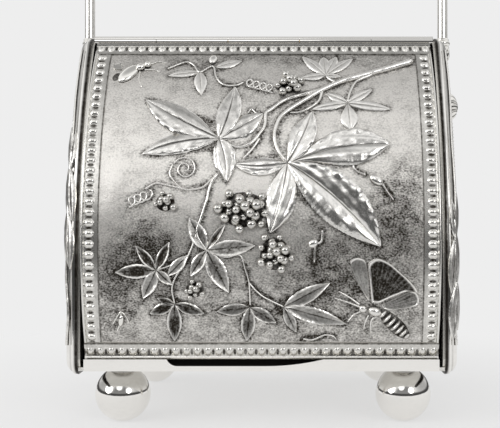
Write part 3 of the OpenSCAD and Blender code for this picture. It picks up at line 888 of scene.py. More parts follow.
# Partly tarnish, partly painted reflection of dark surroundings; negative shares paint a sheen.
FIELD_TONE_PATCHES = (
    TonePatch((0, 14), (100, 22), 0.31),
    TonePatch((-50, 43), (19, 16), 0.74),
    TonePatch((-64, 24), (10, 12), 0.26),
    TonePatch((-20, 40), (16, 14), 0.18),
    TonePatch((38, 40), (32, 21), 0.55),
    TonePatch((58, 66), (13, 18), 0.56),
    TonePatch((16, 62), (14, 9), 0.16),
    TonePatch((-30, 124), (24, 6), 0.14),
    TonePatch((0, 139), (80, 5), 0.34),
    TonePatch((0, 112), (22, 9), 0.18),
    TonePatch((-65, 74), (5, 13), -0.40),
    TonePatch((0, 78), (14, 6), -0.30),
)


def swayed(run: Array, *waves: Point) -> Array:
    """Sums waves along a run, each given as a strength and a length in millimetres to the radian."""
    return sum(strength * np.sin(run / length) for strength, length in waves)


@dataclass(frozen=True)
class LidField:
    """The matted ground between the borders.

    Pitches are in millimetres to the radian, and a sway is a strength with a pitch. Hammer marks run both
    ways over the sheet and sway, and fine streaks run across it low down, break up and fade out higher. The
    edges of the tone patches waver.
    """

    border_width: float = 7.5
    thickness: float = 0.2
    sunk: float = 0.05
    step: float = 0.6
    hammer: float = 0.11
    mark_pitch: Point = (7.0, 8.5)
    mark_sway: tuple[Point, Point] = ((1.4, 15.0), (1.0, 19.0))
    ripple: float = 0.08
    streak_pitch: float = 0.9
    streak_sway: tuple[Point, ...] = ((1.1, 5.5), (0.5, 2.1))
    streak_strength: Point = (0.55, 0.45)
    streak_break: Point = (4.1, 7.0)
    streak_fade: Point = (25.0, 60.0)
    swell: float = 0.55
    swell_at: Point = (-60.0, 73.0)
    swell_reach: Point = (5.0, 14.0)
    ground: float = 0.10
    halo: float = 1.2
    halo_share: float = 0.55
    blade_share: float = 0.4
    tone_patches: tuple[TonePatch, ...] = FIELD_TONE_PATCHES
    patch_edge: float = 1.5
    waver: Point = (2.6, 2.2)
    waver_pitch: Point = (5.3, 6.1)
    waver_start: float = 1.0
    fine_waver: Point = (1.3, 1.1)
    fine_pitch: tuple[Point, Point] = ((3.3, 2.1), (2.3, -3.1))

    def build(self, curve: LidCurve, sprays: tuple[Spray, ...], stems: tuple[Stem, ...]) -> None:
        """Makes the ground sheet, darker close to the relief by painted shadow, and in its tone patches.

        Args:
            curve: The lid's face.
            sprays: Leaves on it.
            stems: Stems on it.
        """
        half = curve.half_width - self.border_width
        count = round(2 * half / self.step)
        across = np.linspace(-half, half, count)
        up = np.linspace(self.border_width, curve.length - self.border_width, count)
        u, v = np.meshgrid(across, up)
        depth = self.ground + self.shadow(u, v, sprays, stems) + self.patch_tone(u, v)
        under = np.repeat(np.array([[half, -half]]), count, axis=0)
        rise = np.hstack([self.heights(u, v), np.full_like(under, -self.sunk)])
        shell = Shell()
        shell.add_rings(
            curve.place(np.hstack([u, under]), up[:, None], rise),
            np.hstack([depth, np.zeros_like(under)]).clip(0, 1))
        seat(shell.build("lid_field", Finish.MATTED), Body.LID, Slot.FIELD)

    def heights(self, u: Array, v: Array) -> Array:
        """Shapes the sheet.

        Args:
            u: Places across the lid.
            v: Places up the lid.

        Returns:
            Heights over the lid's face.
        """
        marks = np.sin(u / self.mark_pitch[0] + swayed(v, self.mark_sway[0]))
        marks = marks * np.sin(v / self.mark_pitch[1] + swayed(u, self.mark_sway[1]))
        broken = np.sin(u / self.streak_break[0] + v / self.streak_break[1])
        strength = self.streak_strength[0] + self.streak_strength[1] * broken
        streaks = strength * np.sin(v / self.streak_pitch + swayed(u, *self.streak_sway))
        swell_u = (u - self.swell_at[0]) / self.swell_reach[0]
        swell_v = (v - self.swell_at[1]) / self.swell_reach[1]
        height = self.thickness + self.hammer * marks
        height = height + self.ripple * streaks * (1 - eased(v, *self.streak_fade))
        return height + self.swell * np.exp(-swell_u ** 2 - swell_v ** 2)

    def patch_tone(self, u: Array, v: Array) -> Array:
        """Finds the painted tone of the patches.

        Args:
            u: Places across the lid.
            v: Places up the lid.

        Returns:
            A share of darkening for each place, below 0 where a painted sheen lightens the ground.
        """
        fine_u, fine_v = (np.sin(u / along + v / up) for along, up in self.fine_pitch)
        wavy_u = u + self.waver[0] * np.sin(v / self.waver_pitch[0] + self.waver_start)
        wavy_u = wavy_u + self.fine_waver[0] * fine_u
        wavy_v = v + self.waver[1] * np.sin(u / self.waver_pitch[1]) + self.fine_waver[1] * fine_v
        share = np.zeros_like(u)
        for tone_patch in self.tone_patches:
            across = (wavy_u - tone_patch.centre[0]) / tone_patch.reach[0]
            up = (wavy_v - tone_patch.centre[1]) / tone_patch.reach[1]
            share = share + tone_patch.share * np.exp(-(across ** 2 + up ** 2) ** self.patch_edge)
        return share

    def shadow(self, u: Array, v: Array, sprays: tuple[Spray, ...], stems: tuple[Stem, ...]) -> Array:
        """Paints shadow on the ground beside the relief, fading with distance from it.

        Args:
            u: Places across the lid.
            v: Places up the lid.
            sprays: Leaves on the lid.
            stems: Stems on the lid.

        Returns:
            A share of painted shadow for each place.
        """
        runs = [
            (blade.base or spray.base, blade.tip, self.blade_share * blade.width)
            for spray in sprays for blade in spray.blades]
        runs += [(a, b, stem.start_r) for stem in stems for a, b in zip(stem.route, stem.route[1:])]
        nearest = np.full(u.shape, np.inf)
        for (u0, v0), (u1, v1), half in runs:
            span = (u1 - u0) ** 2 + (v1 - v0) ** 2
            share = (((u - u0) * (u1 - u0) + (v - v0) * (v1 - v0)) / span).clip(0, 1)
            away = np.hypot(u - u0 - share * (u1 - u0), v - v0 - share * (v1 - v0))
            nearest = np.minimum(nearest, away - half * np.sqrt(1 - share ** 2))
        return self.halo_share * np.exp(-(nearest.clip(0) / self.halo) ** 2)


@dataclass(frozen=True)
class LidBorder:
    """The egg moulding round the lid: a bright flange, eggs with dark dashes between, and a grained band.

    The profile gives heights by the distance in from the outer edge. The pairs whose names end in from are
    distances over which something sets in, and those that end in fade do so in shares of an egg or a dash.
    The dashes, a ring round each egg's foot and the line at the inner edge are painted shade.
    """

    width: float = 7.5
    pitch: float = 4.48
    profile: tuple[Point, ...] = (
        (0, 0.45), (0.15, 0.95), (0.45, 1.15), (1.05, 1.15), (1.25, 0.9), (1.45, 0.5), (6.8, 0.5),
        (7.1, 0.35), (7.5, 0.15))
    ground: float = 0.5
    sunk: float = 0.02
    egg_at: float = 3.5
    egg_half: Point = (1.5, 2.0)
    egg_rise: float = 0.8
    egg_round: float = 0.86
    dash_half: Point = (0.72, 1.6)
    dash_share: float = 0.75
    dash_fade: Point = (0.7, 1.05)
    ground_share: float = 0.14
    ground_fade: Point = (0.95, 1.1)
    ground_from: Point = (1.3, 1.5)
    band_share: float = 0.22
    band_from: Point = (5.6, 6.0)
    edge_share: float = 0.8
    edge_from: Point = (6.8, 7.1)
    overhang: float = 0.6
    rows_per_egg: int = 22
    columns: int = 44

    def heights(self, run: Array, across: Array, pitch: float) -> tuple[Array, Array]:
        """Shapes the moulding.

        Args:
            run: Millimetres along the moulding.
            across: Millimetres in from its outer edge.
            pitch: Millimetres from one egg to the next.

        Returns:
            Heights over the lid, and shares of painted shade and of the band's darker grain.
        """
        plain = np.interp(across, *zip(*self.profile))
        beside, over = run % pitch - pitch / 2, across - self.egg_at
        off = np.hypot(beside / self.egg_half[0], over / self.egg_half[1])
        floor = math.sqrt(1 - self.egg_round ** 2)
        dome = np.sqrt((1 - (self.egg_round * off) ** 2).clip(0)) - floor
        rise = self.egg_rise * dome.clip(0) / (1 - floor)
        height = np.maximum(plain + 0 * run, self.ground + rise)
        # Painted shade: dark dashes in the gaps between eggs, and a thin ring round each egg's foot.
        gap = np.hypot((pitch / 2 - np.abs(beside)) / self.dash_half[0], over / self.dash_half[1])
        dash = self.dash_share * (1 - eased(gap, *self.dash_fade))
        dash = dash + self.ground_share * eased(off, *self.ground_fade)
        # The inner band is a darker grain; its inner edge is a painted shadow line where it steps down.
        band = self.band_share * eased(across, *self.band_from)
        band = band + (self.edge_share - self.band_share) * eased(across, *self.edge_from)
        return height, np.maximum(dash * eased(across, *self.ground_from), band + 0 * run)

    def build(self, curve: LidCurve) -> None:
        """Makes the four runs of moulding.

        Args:
            curve: The lid's face.
        """
        half, length = curve.half_width, curve.length
        drop = self.overhang
        self.build_run(curve, "lid_border_bottom", (-half, half), lambda run, inward: (run, inward - drop))
        self.build_run(curve, "lid_border_top", (-half, half), lambda run, inward: (run, length - inward))
        upright = (self.width, length - self.width)
        self.build_run(curve, "lid_border_left", upright, lambda run, inward: (inward - half, run))
        self.build_run(curve, "lid_border_right", upright, lambda run, inward: (half - inward, run))

    def build_run(
        self, curve: LidCurve, node: str, span: Point, lay: Callable[[Array, Array], tuple[Array, Array]]
    ) -> None:
        """Makes one run of moulding.

        Args:
            curve: The lid's face.
            node: Solid that the run replaces.
            span: Where the run begins and ends.
            lay: Turns a run and an inward distance into a place on the lid.
        """
        eggs = round((span[1] - span[0]) / self.pitch)
        run = np.linspace(span[0], span[1], eggs * self.rows_per_egg + 1)[:, None]
        across = np.linspace(0, self.width, self.columns)[None, :]
        height, depth = self.heights(run - span[0], across, (span[1] - span[0]) / eggs)
        under = np.repeat(np.array([[self.width, 0.0]]), len(run), axis=0)
        u, v = lay(run, np.hstack([across + 0 * run, under]))
        rings = curve.place(u, v, np.hstack([height, np.full_like(under, -self.sunk)]))
        shell = Shell()
        shell.add_rings(rings, np.hstack([depth, np.zeros_like(under)]))
        seat(shell.build(f"{node}_moulding", Finish.STAMPED), Body.LID, Slot.SILVER, node)


LID_SPRAYS = (
    Spray("left_spray", LeafForm.RAISED, (-18, 95), (
        Blade((-50, 114), 12.4, 0.54, 0.03, -0.10, raised=1),
        Blade((-50, 88), 9.8, 0.48, -0.05, -0.14, raised=1),
        Blade((-12, 121), 10.0, 0.46, -0.04, 0.08, raised=-1),
        Blade((0.5, 107), 10.4, 0.50, -0.03, -0.10),
        Blade((-14.5, 75.5), 9.2, 0.45, 0.05, -0.10, curl=0.6, raised=1)), 0.22),
    Spray("great_spray", LeafForm.RAISED, (11, 84), (
        Blade((-11.5, 83.5), 7.8, 0.50, 0.06, -0.14, raised=1),
        Blade((4, 54.5), 12.6, 0.50, 0.03, -0.08, curl=2.0),
        Blade((49.5, 49), 19.0, 0.50, 0.04, 0.16, curl=0.6, raised=1),
        Blade((54, 92.3), 16.4, 0.63, 0.05, 0.03, -0.10, raised=1),
        Blade((21.5, 108), 10.6, 0.50, -0.04, 0.10, raised=-1))),
    Spray("upper_right_spray", LeafForm.LOW, (36.7, 112.3), (
        Blade((27.4, 117.3), 3.9), Blade((21.6, 109.2), 4.2), Blade((47.7, 119.6), 4.2),
        Blade((55, 109.2), 4.7), Blade((37.7, 98.9), 7.3, 0.6))),
    Spray("top_spray", LeafForm.LOW, (27.6, 127.5), (
        Blade((17.3, 139.6), 4.8), Blade((26.8, 139.2), 4.6, 0.6), Blade((32.6, 139.3), 4.3, 0.6),
        Blade((39.9, 138.1), 4.6, 0.55), Blade((16.5, 125.8), 4.2), Blade((34.2, 126.8), 2.7))),
    Spray("upper_left_spray", LeafForm.LOW, (-27.7, 129.6), (
        Blade((-41.3, 127.4), 4.0), Blade((-26.3, 116.6), 5.4, 0.45),
        Blade((-9.3, 136.6), 4.5, base=(-20.6, 132.4)))),
    Spray("low_left_spray", LeafForm.HOLLOW, (-43.6, 38.9), (
        Blade((-60.5, 38), 5.8), Blade((-52, 49.1), 4.2), Blade((-38.1, 50.6), 4.2)), 1.0),
    Spray("low_left_side_spray", LeafForm.HOLLOW, (-43.6, 38.9), (
        Blade((-49.2, 27.1), 5.8), Blade((-37.1, 32.8), 4.0),
        Blade((-30.3, 45.2), 4.6, base=(-38.8, 36.6))), 0.6),
    Spray("corner_spray", LeafForm.HOLLOW, (-36.2, 24.6), (
        Blade((-46.7, 20.5), 4.6), Blade((-23.8, 20.5), 4.8), Blade((-36.6, 8.2), 6.0),
        Blade((-43.3, 27.1), 3.0)), 0.9),
    Spray("middle_spray", LeafForm.HOLLOW, (-22.7, 47.2), (
        Blade((-2.5, 49.1), 6.5), Blade((-29.9, 60.7), 6.6), Blade((-29.4, 36.5), 5.0),
        Blade((-13.6, 29.6), 7.5), Blade((-14.7, 58.3), 3.2)), 0.75),
    Spray("low_middle_spray", LeafForm.HOLLOW, (-4.8, 23.1), (
        Blade((-18.4, 21.5), 5.2), Blade((-6.2, 8.2), 5.8), Blade((6.2, 16.4), 5.4)), 0.8),
    Spray("low_right_spray", LeafForm.HOLLOW, (9.5, 23.3), (
        Blade((28.6, 33.6), 6.2, 0.45), Blade((35.4, 15.9), 6.8, 0.45), Blade((14.6, 12.1), 4.4)), 0.6),
)

LID_STEMS = (
    Stem(((66, 136), (54.6, 131.2), (50.2, 129.7), (38.4, 125.4), (34.7, 124), (26.1, 119.3), (19.8, 114.8),
          (9.4, 106.8), (5.9, 99.8), (5.6, 94.2), (7.4, 88.7), (10.5, 84.4)), 1.5, 0.75, 0.11),
    Stem(((50.2, 129.7), (46.9, 127.5), (41, 124), (38.2, 118.7), (36.7, 112.9)), 0.8, 0.5, 0.12),
    Stem(((26.1, 119.3), (19.8, 117.3), (10.4, 114.1), (4.2, 109.2), (1.7, 106.8), (1.5, 102.1),
          (0.2, 98.7), (-4.7, 92.7), (-10.7, 91.1), (-17.2, 94.3)), 0.95, 0.6, 0.14),
    Stem(((-0.8, 94.9), (-4, 90), (-7.6, 85.9)), 0.6, 0.45),
    Stem(((31.5, 123.6), (29, 125.6), (27.6, 127.5)), 0.7, 0.5),
    Stem(((26.1, 119.3), (24, 112.9), (17.2, 108), (12, 107.4)), 0.75, 0.4, 0.12),
    Stem(((0.1, 106.6), (-2.5, 107.2), (-4.5, 109.3), (-6, 107.2)), 0.45, 0.3),
    Stem(((-41.9, 131.7), (-34.4, 135.8), (-30.6, 133.9), (-27.7, 129.6), (-22.2, 133.2), (-20.4, 126.8),
          (-17.1, 122.4), (-12, 121.7), (-7.9, 123.7)), 0.4, 0.45),
    Stem(coil((-7, 123.5), (4.5, 119.8), 4, 2.0), 0.5, 0.4),
    Stem(((-18.4, 79.2), (-21.7, 75.7), (-25.1, 73.2), (-32.5, 72.7), (-37, 76.7), (-38.3, 79.8),
          (-37, 83.8)), 0.5, 0.4),
    Stem(spiral((-32, 81.5), 5.2, 0.9, 1.7, 155), 0.42, 0.32),
    Stem(((-48.2, 72.7), (-43.8, 75.2), (-38.9, 74.2), (-32.5, 72.7)), 0.5, 0.45),
    Stem(coil((-55, 67), (-46.6, 70.5), 3.5, 1.9), 0.4, 0.4),
    Stem(((-18.4, 79.2), (-21.2, 74.2), (-22.6, 67.9), (-24.5, 61.7), (-26.6, 54), (-22.7, 47.2)),
         0.75, 0.45, 0.12),
    Stem(((-26.6, 54), (-30.3, 44.8), (-36.8, 33.1), (-36.2, 24.6)), 0.42, 0.36, 0.12),
    Stem(((-30.3, 44.8), (-37, 41.2), (-43.6, 38.9)), 0.4, 0.36),
    Stem(((-22.7, 47.2), (-15, 44.4), (-8.8, 45.2), (-6.4, 38.9), (-5, 33.5), (-4.6, 24)), 0.4, 0.34, 0.10),
    Stem(((-5, 33.5), (0.5, 28), (9.5, 23.3)), 0.38, 0.34),
    Stem(((17.6, 9), (21.7, 8.6), (26.8, 10.8), (30.4, 10.1), (31.4, 8.6)), 0.45, 0.35),
    Stem(((25.6, 55.5), (25.1, 51), (22.6, 49.1), (22.1, 42.1)), 0.55, 0.4),
    Stem(((38.4, 84.4), (39.4, 80.8), (43.9, 78.7)), 0.55, 0.45),
    Stem(((50.5, 75), (53, 71), (55.3, 68)), 0.45, 0.3),
)

LID_BERRIES = (
    BerryCluster("middle_berries", (-7.5, 64), 19, 7, 1.9, (1.2, 0.95), 1.12),
    BerryCluster("low_berries", (5.8, 45.8), 15, 6, 1.65, (1.0, 1.1), 1.16),
    BerryCluster("top_berries", (11.2, 121.8), 9, 4, 1.75, (1.05, 0.95)),
    BerryCluster("left_berries", (-39.9, 67), 7, 2, 1.35, (1.1, 1.0), 1.2),
    BerryCluster("corner_berries", (-27.6, 30.8), 8, 2, 1.2, (1.1, 1.0), 1.2),
)


LID_BUDS = (
    Egg((48, 76.5), 0.9, (3.2, 1.9, 1.2), -35),
    Egg((21.6, 50), 0.8, (2.2, 1.7, 1.1), 30),
    Egg((-22.2, 137.3), 0.7, (2.6, 1.9, 1.0), 80),
)

BUTTERFLY_WINGS = (
    Wing(((46, 25), (45, 35), (44.4, 41), (46.2, 43.2), (48.7, 44), (53.2, 42), (57.2, 38.6), (62.3, 34),
          (65.4, 29.6), (61.5, 30.2), (55, 27.8), (49, 25)), (47, 22), 56, 0.75, 0.5),
    Wing(((50, 24.3), (56, 27.2), (62.4, 30), (65.5, 28.4), (65.5, 24.4), (60, 22.8), (52, 22.3)),
         (48, 22), 60, 0.6, 0.35, 0.75),
    Wing(((44.8, 26), (40.6, 33), (37, 41.4), (38.2, 43.8), (41, 44.2), (43.6, 42.2), (44.6, 35)),
         (45, 24), 40, 0.5, 0.4, 0.6),
)
BUTTERFLY_BODY = (
    Egg((56, 15.4), 0.3, (8.6, 3.3, 0.7), -45, 0.9),
    Egg((47.4, 21.6), 1.4, (2.9, 2.0, 1.8), 160),
    Egg((42.4, 22.7), 1.2, (1.8, 1.6, 1.4), 160),
)
BUTTERFLY_LEGS = tuple(Stem(route, 0.42, 0.3) for route in (
    ((41, 24.4), (36.6, 27.6), (32.4, 30)),
    ((41, 23.4), (36, 25.4), (30.4, 27.2)),
    ((44.9, 19.8), (43.5, 16.4), (43, 13.2)),
    ((48.5, 19.4), (46, 17), (46.1, 11.5)),
    ((43.4, 22), (39, 20), (36, 16.5)),
))

BEE = (
    # A flat, near-black egg: painted shadow beside the bee.
    Egg((-64, 127), 0.2, (2.4, 1.5, 0.5), 60, 0.85),
    Egg((-53.9, 132.1), 1.1, (2.2, 1.8, 1.5), 25),
    Egg((-50.9, 133.7), 1.0, (1.6, 1.5, 1.3), 25),
    Egg((-58.8, 128.8), 0.5, (6.2, 3.0, 1.3), 52),
    Wing(((-62, 131), (-65.6, 131.6), (-66, 134.4), (-62.6, 134.6)), (-60, 132), 6, 0.4, 0.3, 0.3),
)
GNAT = (
    Egg((-58.8, 17.2), 0.7, (2.6, 1.1, 0.9), 80),
)
BEE_AND_GNAT_LEGS = tuple(Stem(route, 0.38, 0.3) for route in (
    ((-50.2, 134.4), (-46, 136), (-42.7, 135)),
    ((-52, 131), (-48, 131), (-44.8, 129.6)),
    ((-54, 130), (-54, 125), (-52.3, 120.7)),
    ((-62.4, 15.8), (-60.4, 19), (-58.7, 21), (-56.6, 19), (-55.5, 15.8)),
    ((-60.6, 12.6), (-59, 17), (-58.7, 21)),
))


@dataclass(frozen=True)
class Abdomen:
    """The butterfly's ringed abdomen, from its waist to its tip.

    Swell is the part of a half turn over which the rings grow and shrink. Shape is a ring's length, and its
    thickness and the height of its middle as shares of its width.
    """

    start: Point = (50.8, 20.4)
    run: Point = (10.4, -10.0)
    heading: float = -45.0
    rings: int = 7
    size: Point = (1.2, 1.7)
    swell: Point = (0.18, 0.76)
    shape: tuple[float, float, float] = (0.85, 0.7, 0.5)
    tarnish: float = 0.1

    def patches(self) -> Iterator[Patch]:
        """Shapes the rings.

        Yields:
            Their surfaces.
        """
        long, thick, proud = self.shape
        for ring in range(self.rings):
            share = ring / (self.rings - 1)
            grown = math.sin(math.pi * (self.swell[0] + self.swell[1] * share))
            width = self.size[0] + self.size[1] * grown
            at = (self.start[0] + self.run[0] * share, self.start[1] + self.run[1] * share)
            radii = (long, width, thick * width)
            yield from Egg(at, proud * width, radii, self.heading, self.tarnish).patches()


@dataclass(frozen=True)
class LidRelief:
    """The chased vine, berries and insects on the lid."""

    sprays: tuple[Spray, ...] = LID_SPRAYS
    stems: tuple[Stem, ...] = LID_STEMS
    buds: tuple[Egg, ...] = LID_BUDS
    berries: tuple[BerryCluster, ...] = LID_BERRIES
    butterfly: tuple[Relief, ...] = (*BUTTERFLY_WINGS, Abdomen(), *BUTTERFLY_BODY, *BUTTERFLY_LEGS)
    insects: tuple[Relief, ...] = (*BEE, *BEE_AND_GNAT_LEGS, *GNAT)

    def build(self, curve: LidCurve) -> None:
        """Makes every piece of the relief.

        Args:
            curve: The lid's face.
        """
        for spray in self.sprays:
            leaves = carved((curve, [spray])).build(spray.name, spray.form.value.finish)
            seat(leaves, Body.LID, Slot.SILVER, "lid_foliage")
        vine = carved((curve, (*self.stems, *self.buds))).build("vine_stems", Finish.BURNISHED)
        seat(vine, Body.LID, Slot.SILVER, "lid_foliage")
        for cluster in self.berries:
            heap = carved((curve, [cluster])).build(cluster.name, Finish.CHASED)
            seat(heap, Body.LID, Slot.SILVER, "lid_berries")
        butterfly = carved((curve, self.butterfly)).build("butterfly", Finish.BURNISHED)
        seat(butterfly, Body.LID, Slot.SILVER, "lid_butterfly")
        insects = carved((curve, self.insects)).build("bee_and_gnat", Finish.CHASED)
        seat(insects, Body.LID, Slot.SILVER)


@dataclass(frozen=True)
class PanelOutline:
    """The end panels' outline, followed from the low front corner up, over the top and round.

    Shared is the distance under which two arcs' ends count as one point.
    """

    front: float
    back: float
    low: float
    top: float
    front_r: float = 200.0
    belly_z: float = 61.0
    low_r: float = 7.0
    back_r: float = 14.0
    brow_r: float = 10.0
    shared: float = 1e-6

    @classmethod
    def from_frame(cls) -> "PanelOutline":
        """Takes the outline's sides from the right panel's solid."""
        low, high = box_mm("right_end_panel")
        return cls(low.y, high.y, low.z, high.z)

    def trace(self) -> tuple[Array, Array, Array]:
        """Follows the outline.

        Returns:
            Points as Y and Z, outward directions, and the run up to each point.
        """
        sweep = self.front + self.front_r
        brow_z = self.top - self.brow_r
        brow_y = sweep - math.sqrt((self.front_r - self.brow_r) ** 2 - (brow_z - self.belly_z) ** 2)
        meet = math.degrees(math.atan2(brow_z - self.belly_z, brow_y - sweep))
        corners = (
            ((sweep, self.belly_z), self.front_r, 180, meet, 70),
            ((brow_y, brow_z), self.brow_r, meet, 90, 14),
            ((self.back - self.back_r, self.top - self.back_r), self.back_r, 90, 0, 24),
            ((self.back - self.low_r, self.low + self.low_r), self.low_r, 0, -90, 16),
            ((self.front + self.low_r, self.low + self.low_r), self.low_r, -90, -180, 16))
        spots, ways = [], []
        for centre, radius, first, last, count in corners:
            angle = np.radians(np.linspace(first, last, count))
            way = np.stack([np.cos(angle), np.sin(angle)], axis=-1)
            spots.append(np.array(centre) + radius * way)
            ways.append(way)
        points, normals = np.vstack(spots), np.vstack(ways)
        apart = np.linalg.norm(points - np.roll(points, 1, axis=0), axis=1) > self.shared
        points, normals = np.roll(points[apart], 1, axis=0), np.roll(normals[apart], 1, axis=0)
        steps = np.linalg.norm(np.diff(points, axis=0), axis=1)
        return points, normals, np.concatenate([[0.0], np.cumsum(steps)])


@dataclass(frozen=True)
class PanelRim:
    """An end panel's rounded edge, measured out from its rim and up along its outline."""

    outline: PanelOutline
    side: Side
    inner_x: float
    round_r: float
    start: float = 0.0

    def place(self, u: Array, v: Array, h: Array) -> Array:
        """Turns places on the rounded edge into points; past the rounding they lie on the flat.

        Args:
            u: Millimetres out from the rim, round the edge.
            v: Millimetres along the outline from its start over the low front corner.
            h: Millimetres out from the surface.

        Returns:
            Points in metres.
        """
        points, normals, run = self.outline.trace()
        quarter = self.round_r * math.pi / 2
        angle = np.clip(u, 0, quarter) / self.round_r
        reach = self.round_r + h
        inset = self.round_r - reach * np.cos(angle) + np.clip(u - quarter, 0, None)
        at = v + self.start
        y = np.interp(at, run, points[:, 0]) - inset * np.interp(at, run, normals[:, 0])
        z = np.interp(at, run, points[:, 1]) - inset * np.interp(at, run, normals[:, 1])
        return stacked(self.side.value * (self.inner_x + reach * np.sin(angle)), y, z)


@dataclass(frozen=True)
class PanelFace:
    """An end panel's flat face, measured back and up."""

    side: Side
    face_x: float

    def place(self, u: Array, v: Array, h: Array) -> Array:
        """Turns places on the face and heights over it into points.

        Args:
            u: Millimetres back from the middle of the box.
            v: Millimetres up from the table.
            h: Millimetres out from the face.

        Returns:
            Points in metres.
        """
        return stacked(self.side.value * (self.face_x + h), u, v)


RIM_SPRAY = Spray("rim_spray", LeafForm.SOFT, (4.8, 50), (
    Blade((2.2, 28), 5.0, base=(4.6, 52)), Blade((7.4, 32), 5.0, base=(5.0, 54)),
    Blade((3.0, 8), 5.6, base=(5.0, 32)), Blade((7.6, 12), 5.0, base=(5.2, 34)),
    Blade((2.8, 68), 4.4, base=(5.0, 50)), Blade((7.0, 72), 4.2, base=(5, 52))))
RIM_STEM = Stem(
    ((5, 6), (4, 20), (5.4, 36), (4.2, 52), (5.2, 72), (4.4, 96), (5.2, 120), (4.6, 142)), 0.6, 0.4, 0.12)

FACE_SPRAYS = (
    Spray("face_great", LeafForm.RAISED, (2, 78), (
        Blade((-38, 96), 15, 0.5, 0.04, 0.06, raised=1), Blade((-36, 56), 14, 0.5, -0.04, -0.06, raised=1),
        Blade((2, 40), 14, 0.5, 0.03, 0.05), Blade((40, 60), 14, 0.5, 0.04, 0.08, raised=-1),
        Blade((40, 98), 14, 0.48, -0.04, -0.05, raised=-1))),
    Spray("face_low_back", LeafForm.LOW, (52, 44), (
        Blade((66, 56), 6), Blade((68, 38), 6), Blade((44, 34), 5), Blade((56, 32), 5))),
    Spray("face_low_front", LeafForm.LOW, (-46, 42), (
        Blade((-60, 52), 6), Blade((-60, 34), 6), Blade((-38, 34), 5), Blade((-50, 32), 4.6))),
)
FACE_STEMS = (
    Stem(((2, 78), (8, 92), (4, 104), (-6, 108)), 1.0, 0.6, 0.14),
    Stem(((2, 78), (16, 60), (34, 48), (52, 44)), 0.9, 0.55, 0.12),
    Stem(((2, 78), (-12, 62), (-30, 48), (-46, 42)), 0.9, 0.55, 0.12),
    Stem(spiral((58, 74), 6, 1.2, 1.7, 200), 0.5, 0.35),
    Stem(spiral((-54, 70), 5.5, 1.2, 1.7, -20), 0.5, 0.35),
)
FACE_BERRIES = (
    BerryCluster("face_back_berries", (22, 38), 10, 4, 1.9),
    BerryCluster("face_front_berries", (-20, 37), 9, 3, 1.8),
)


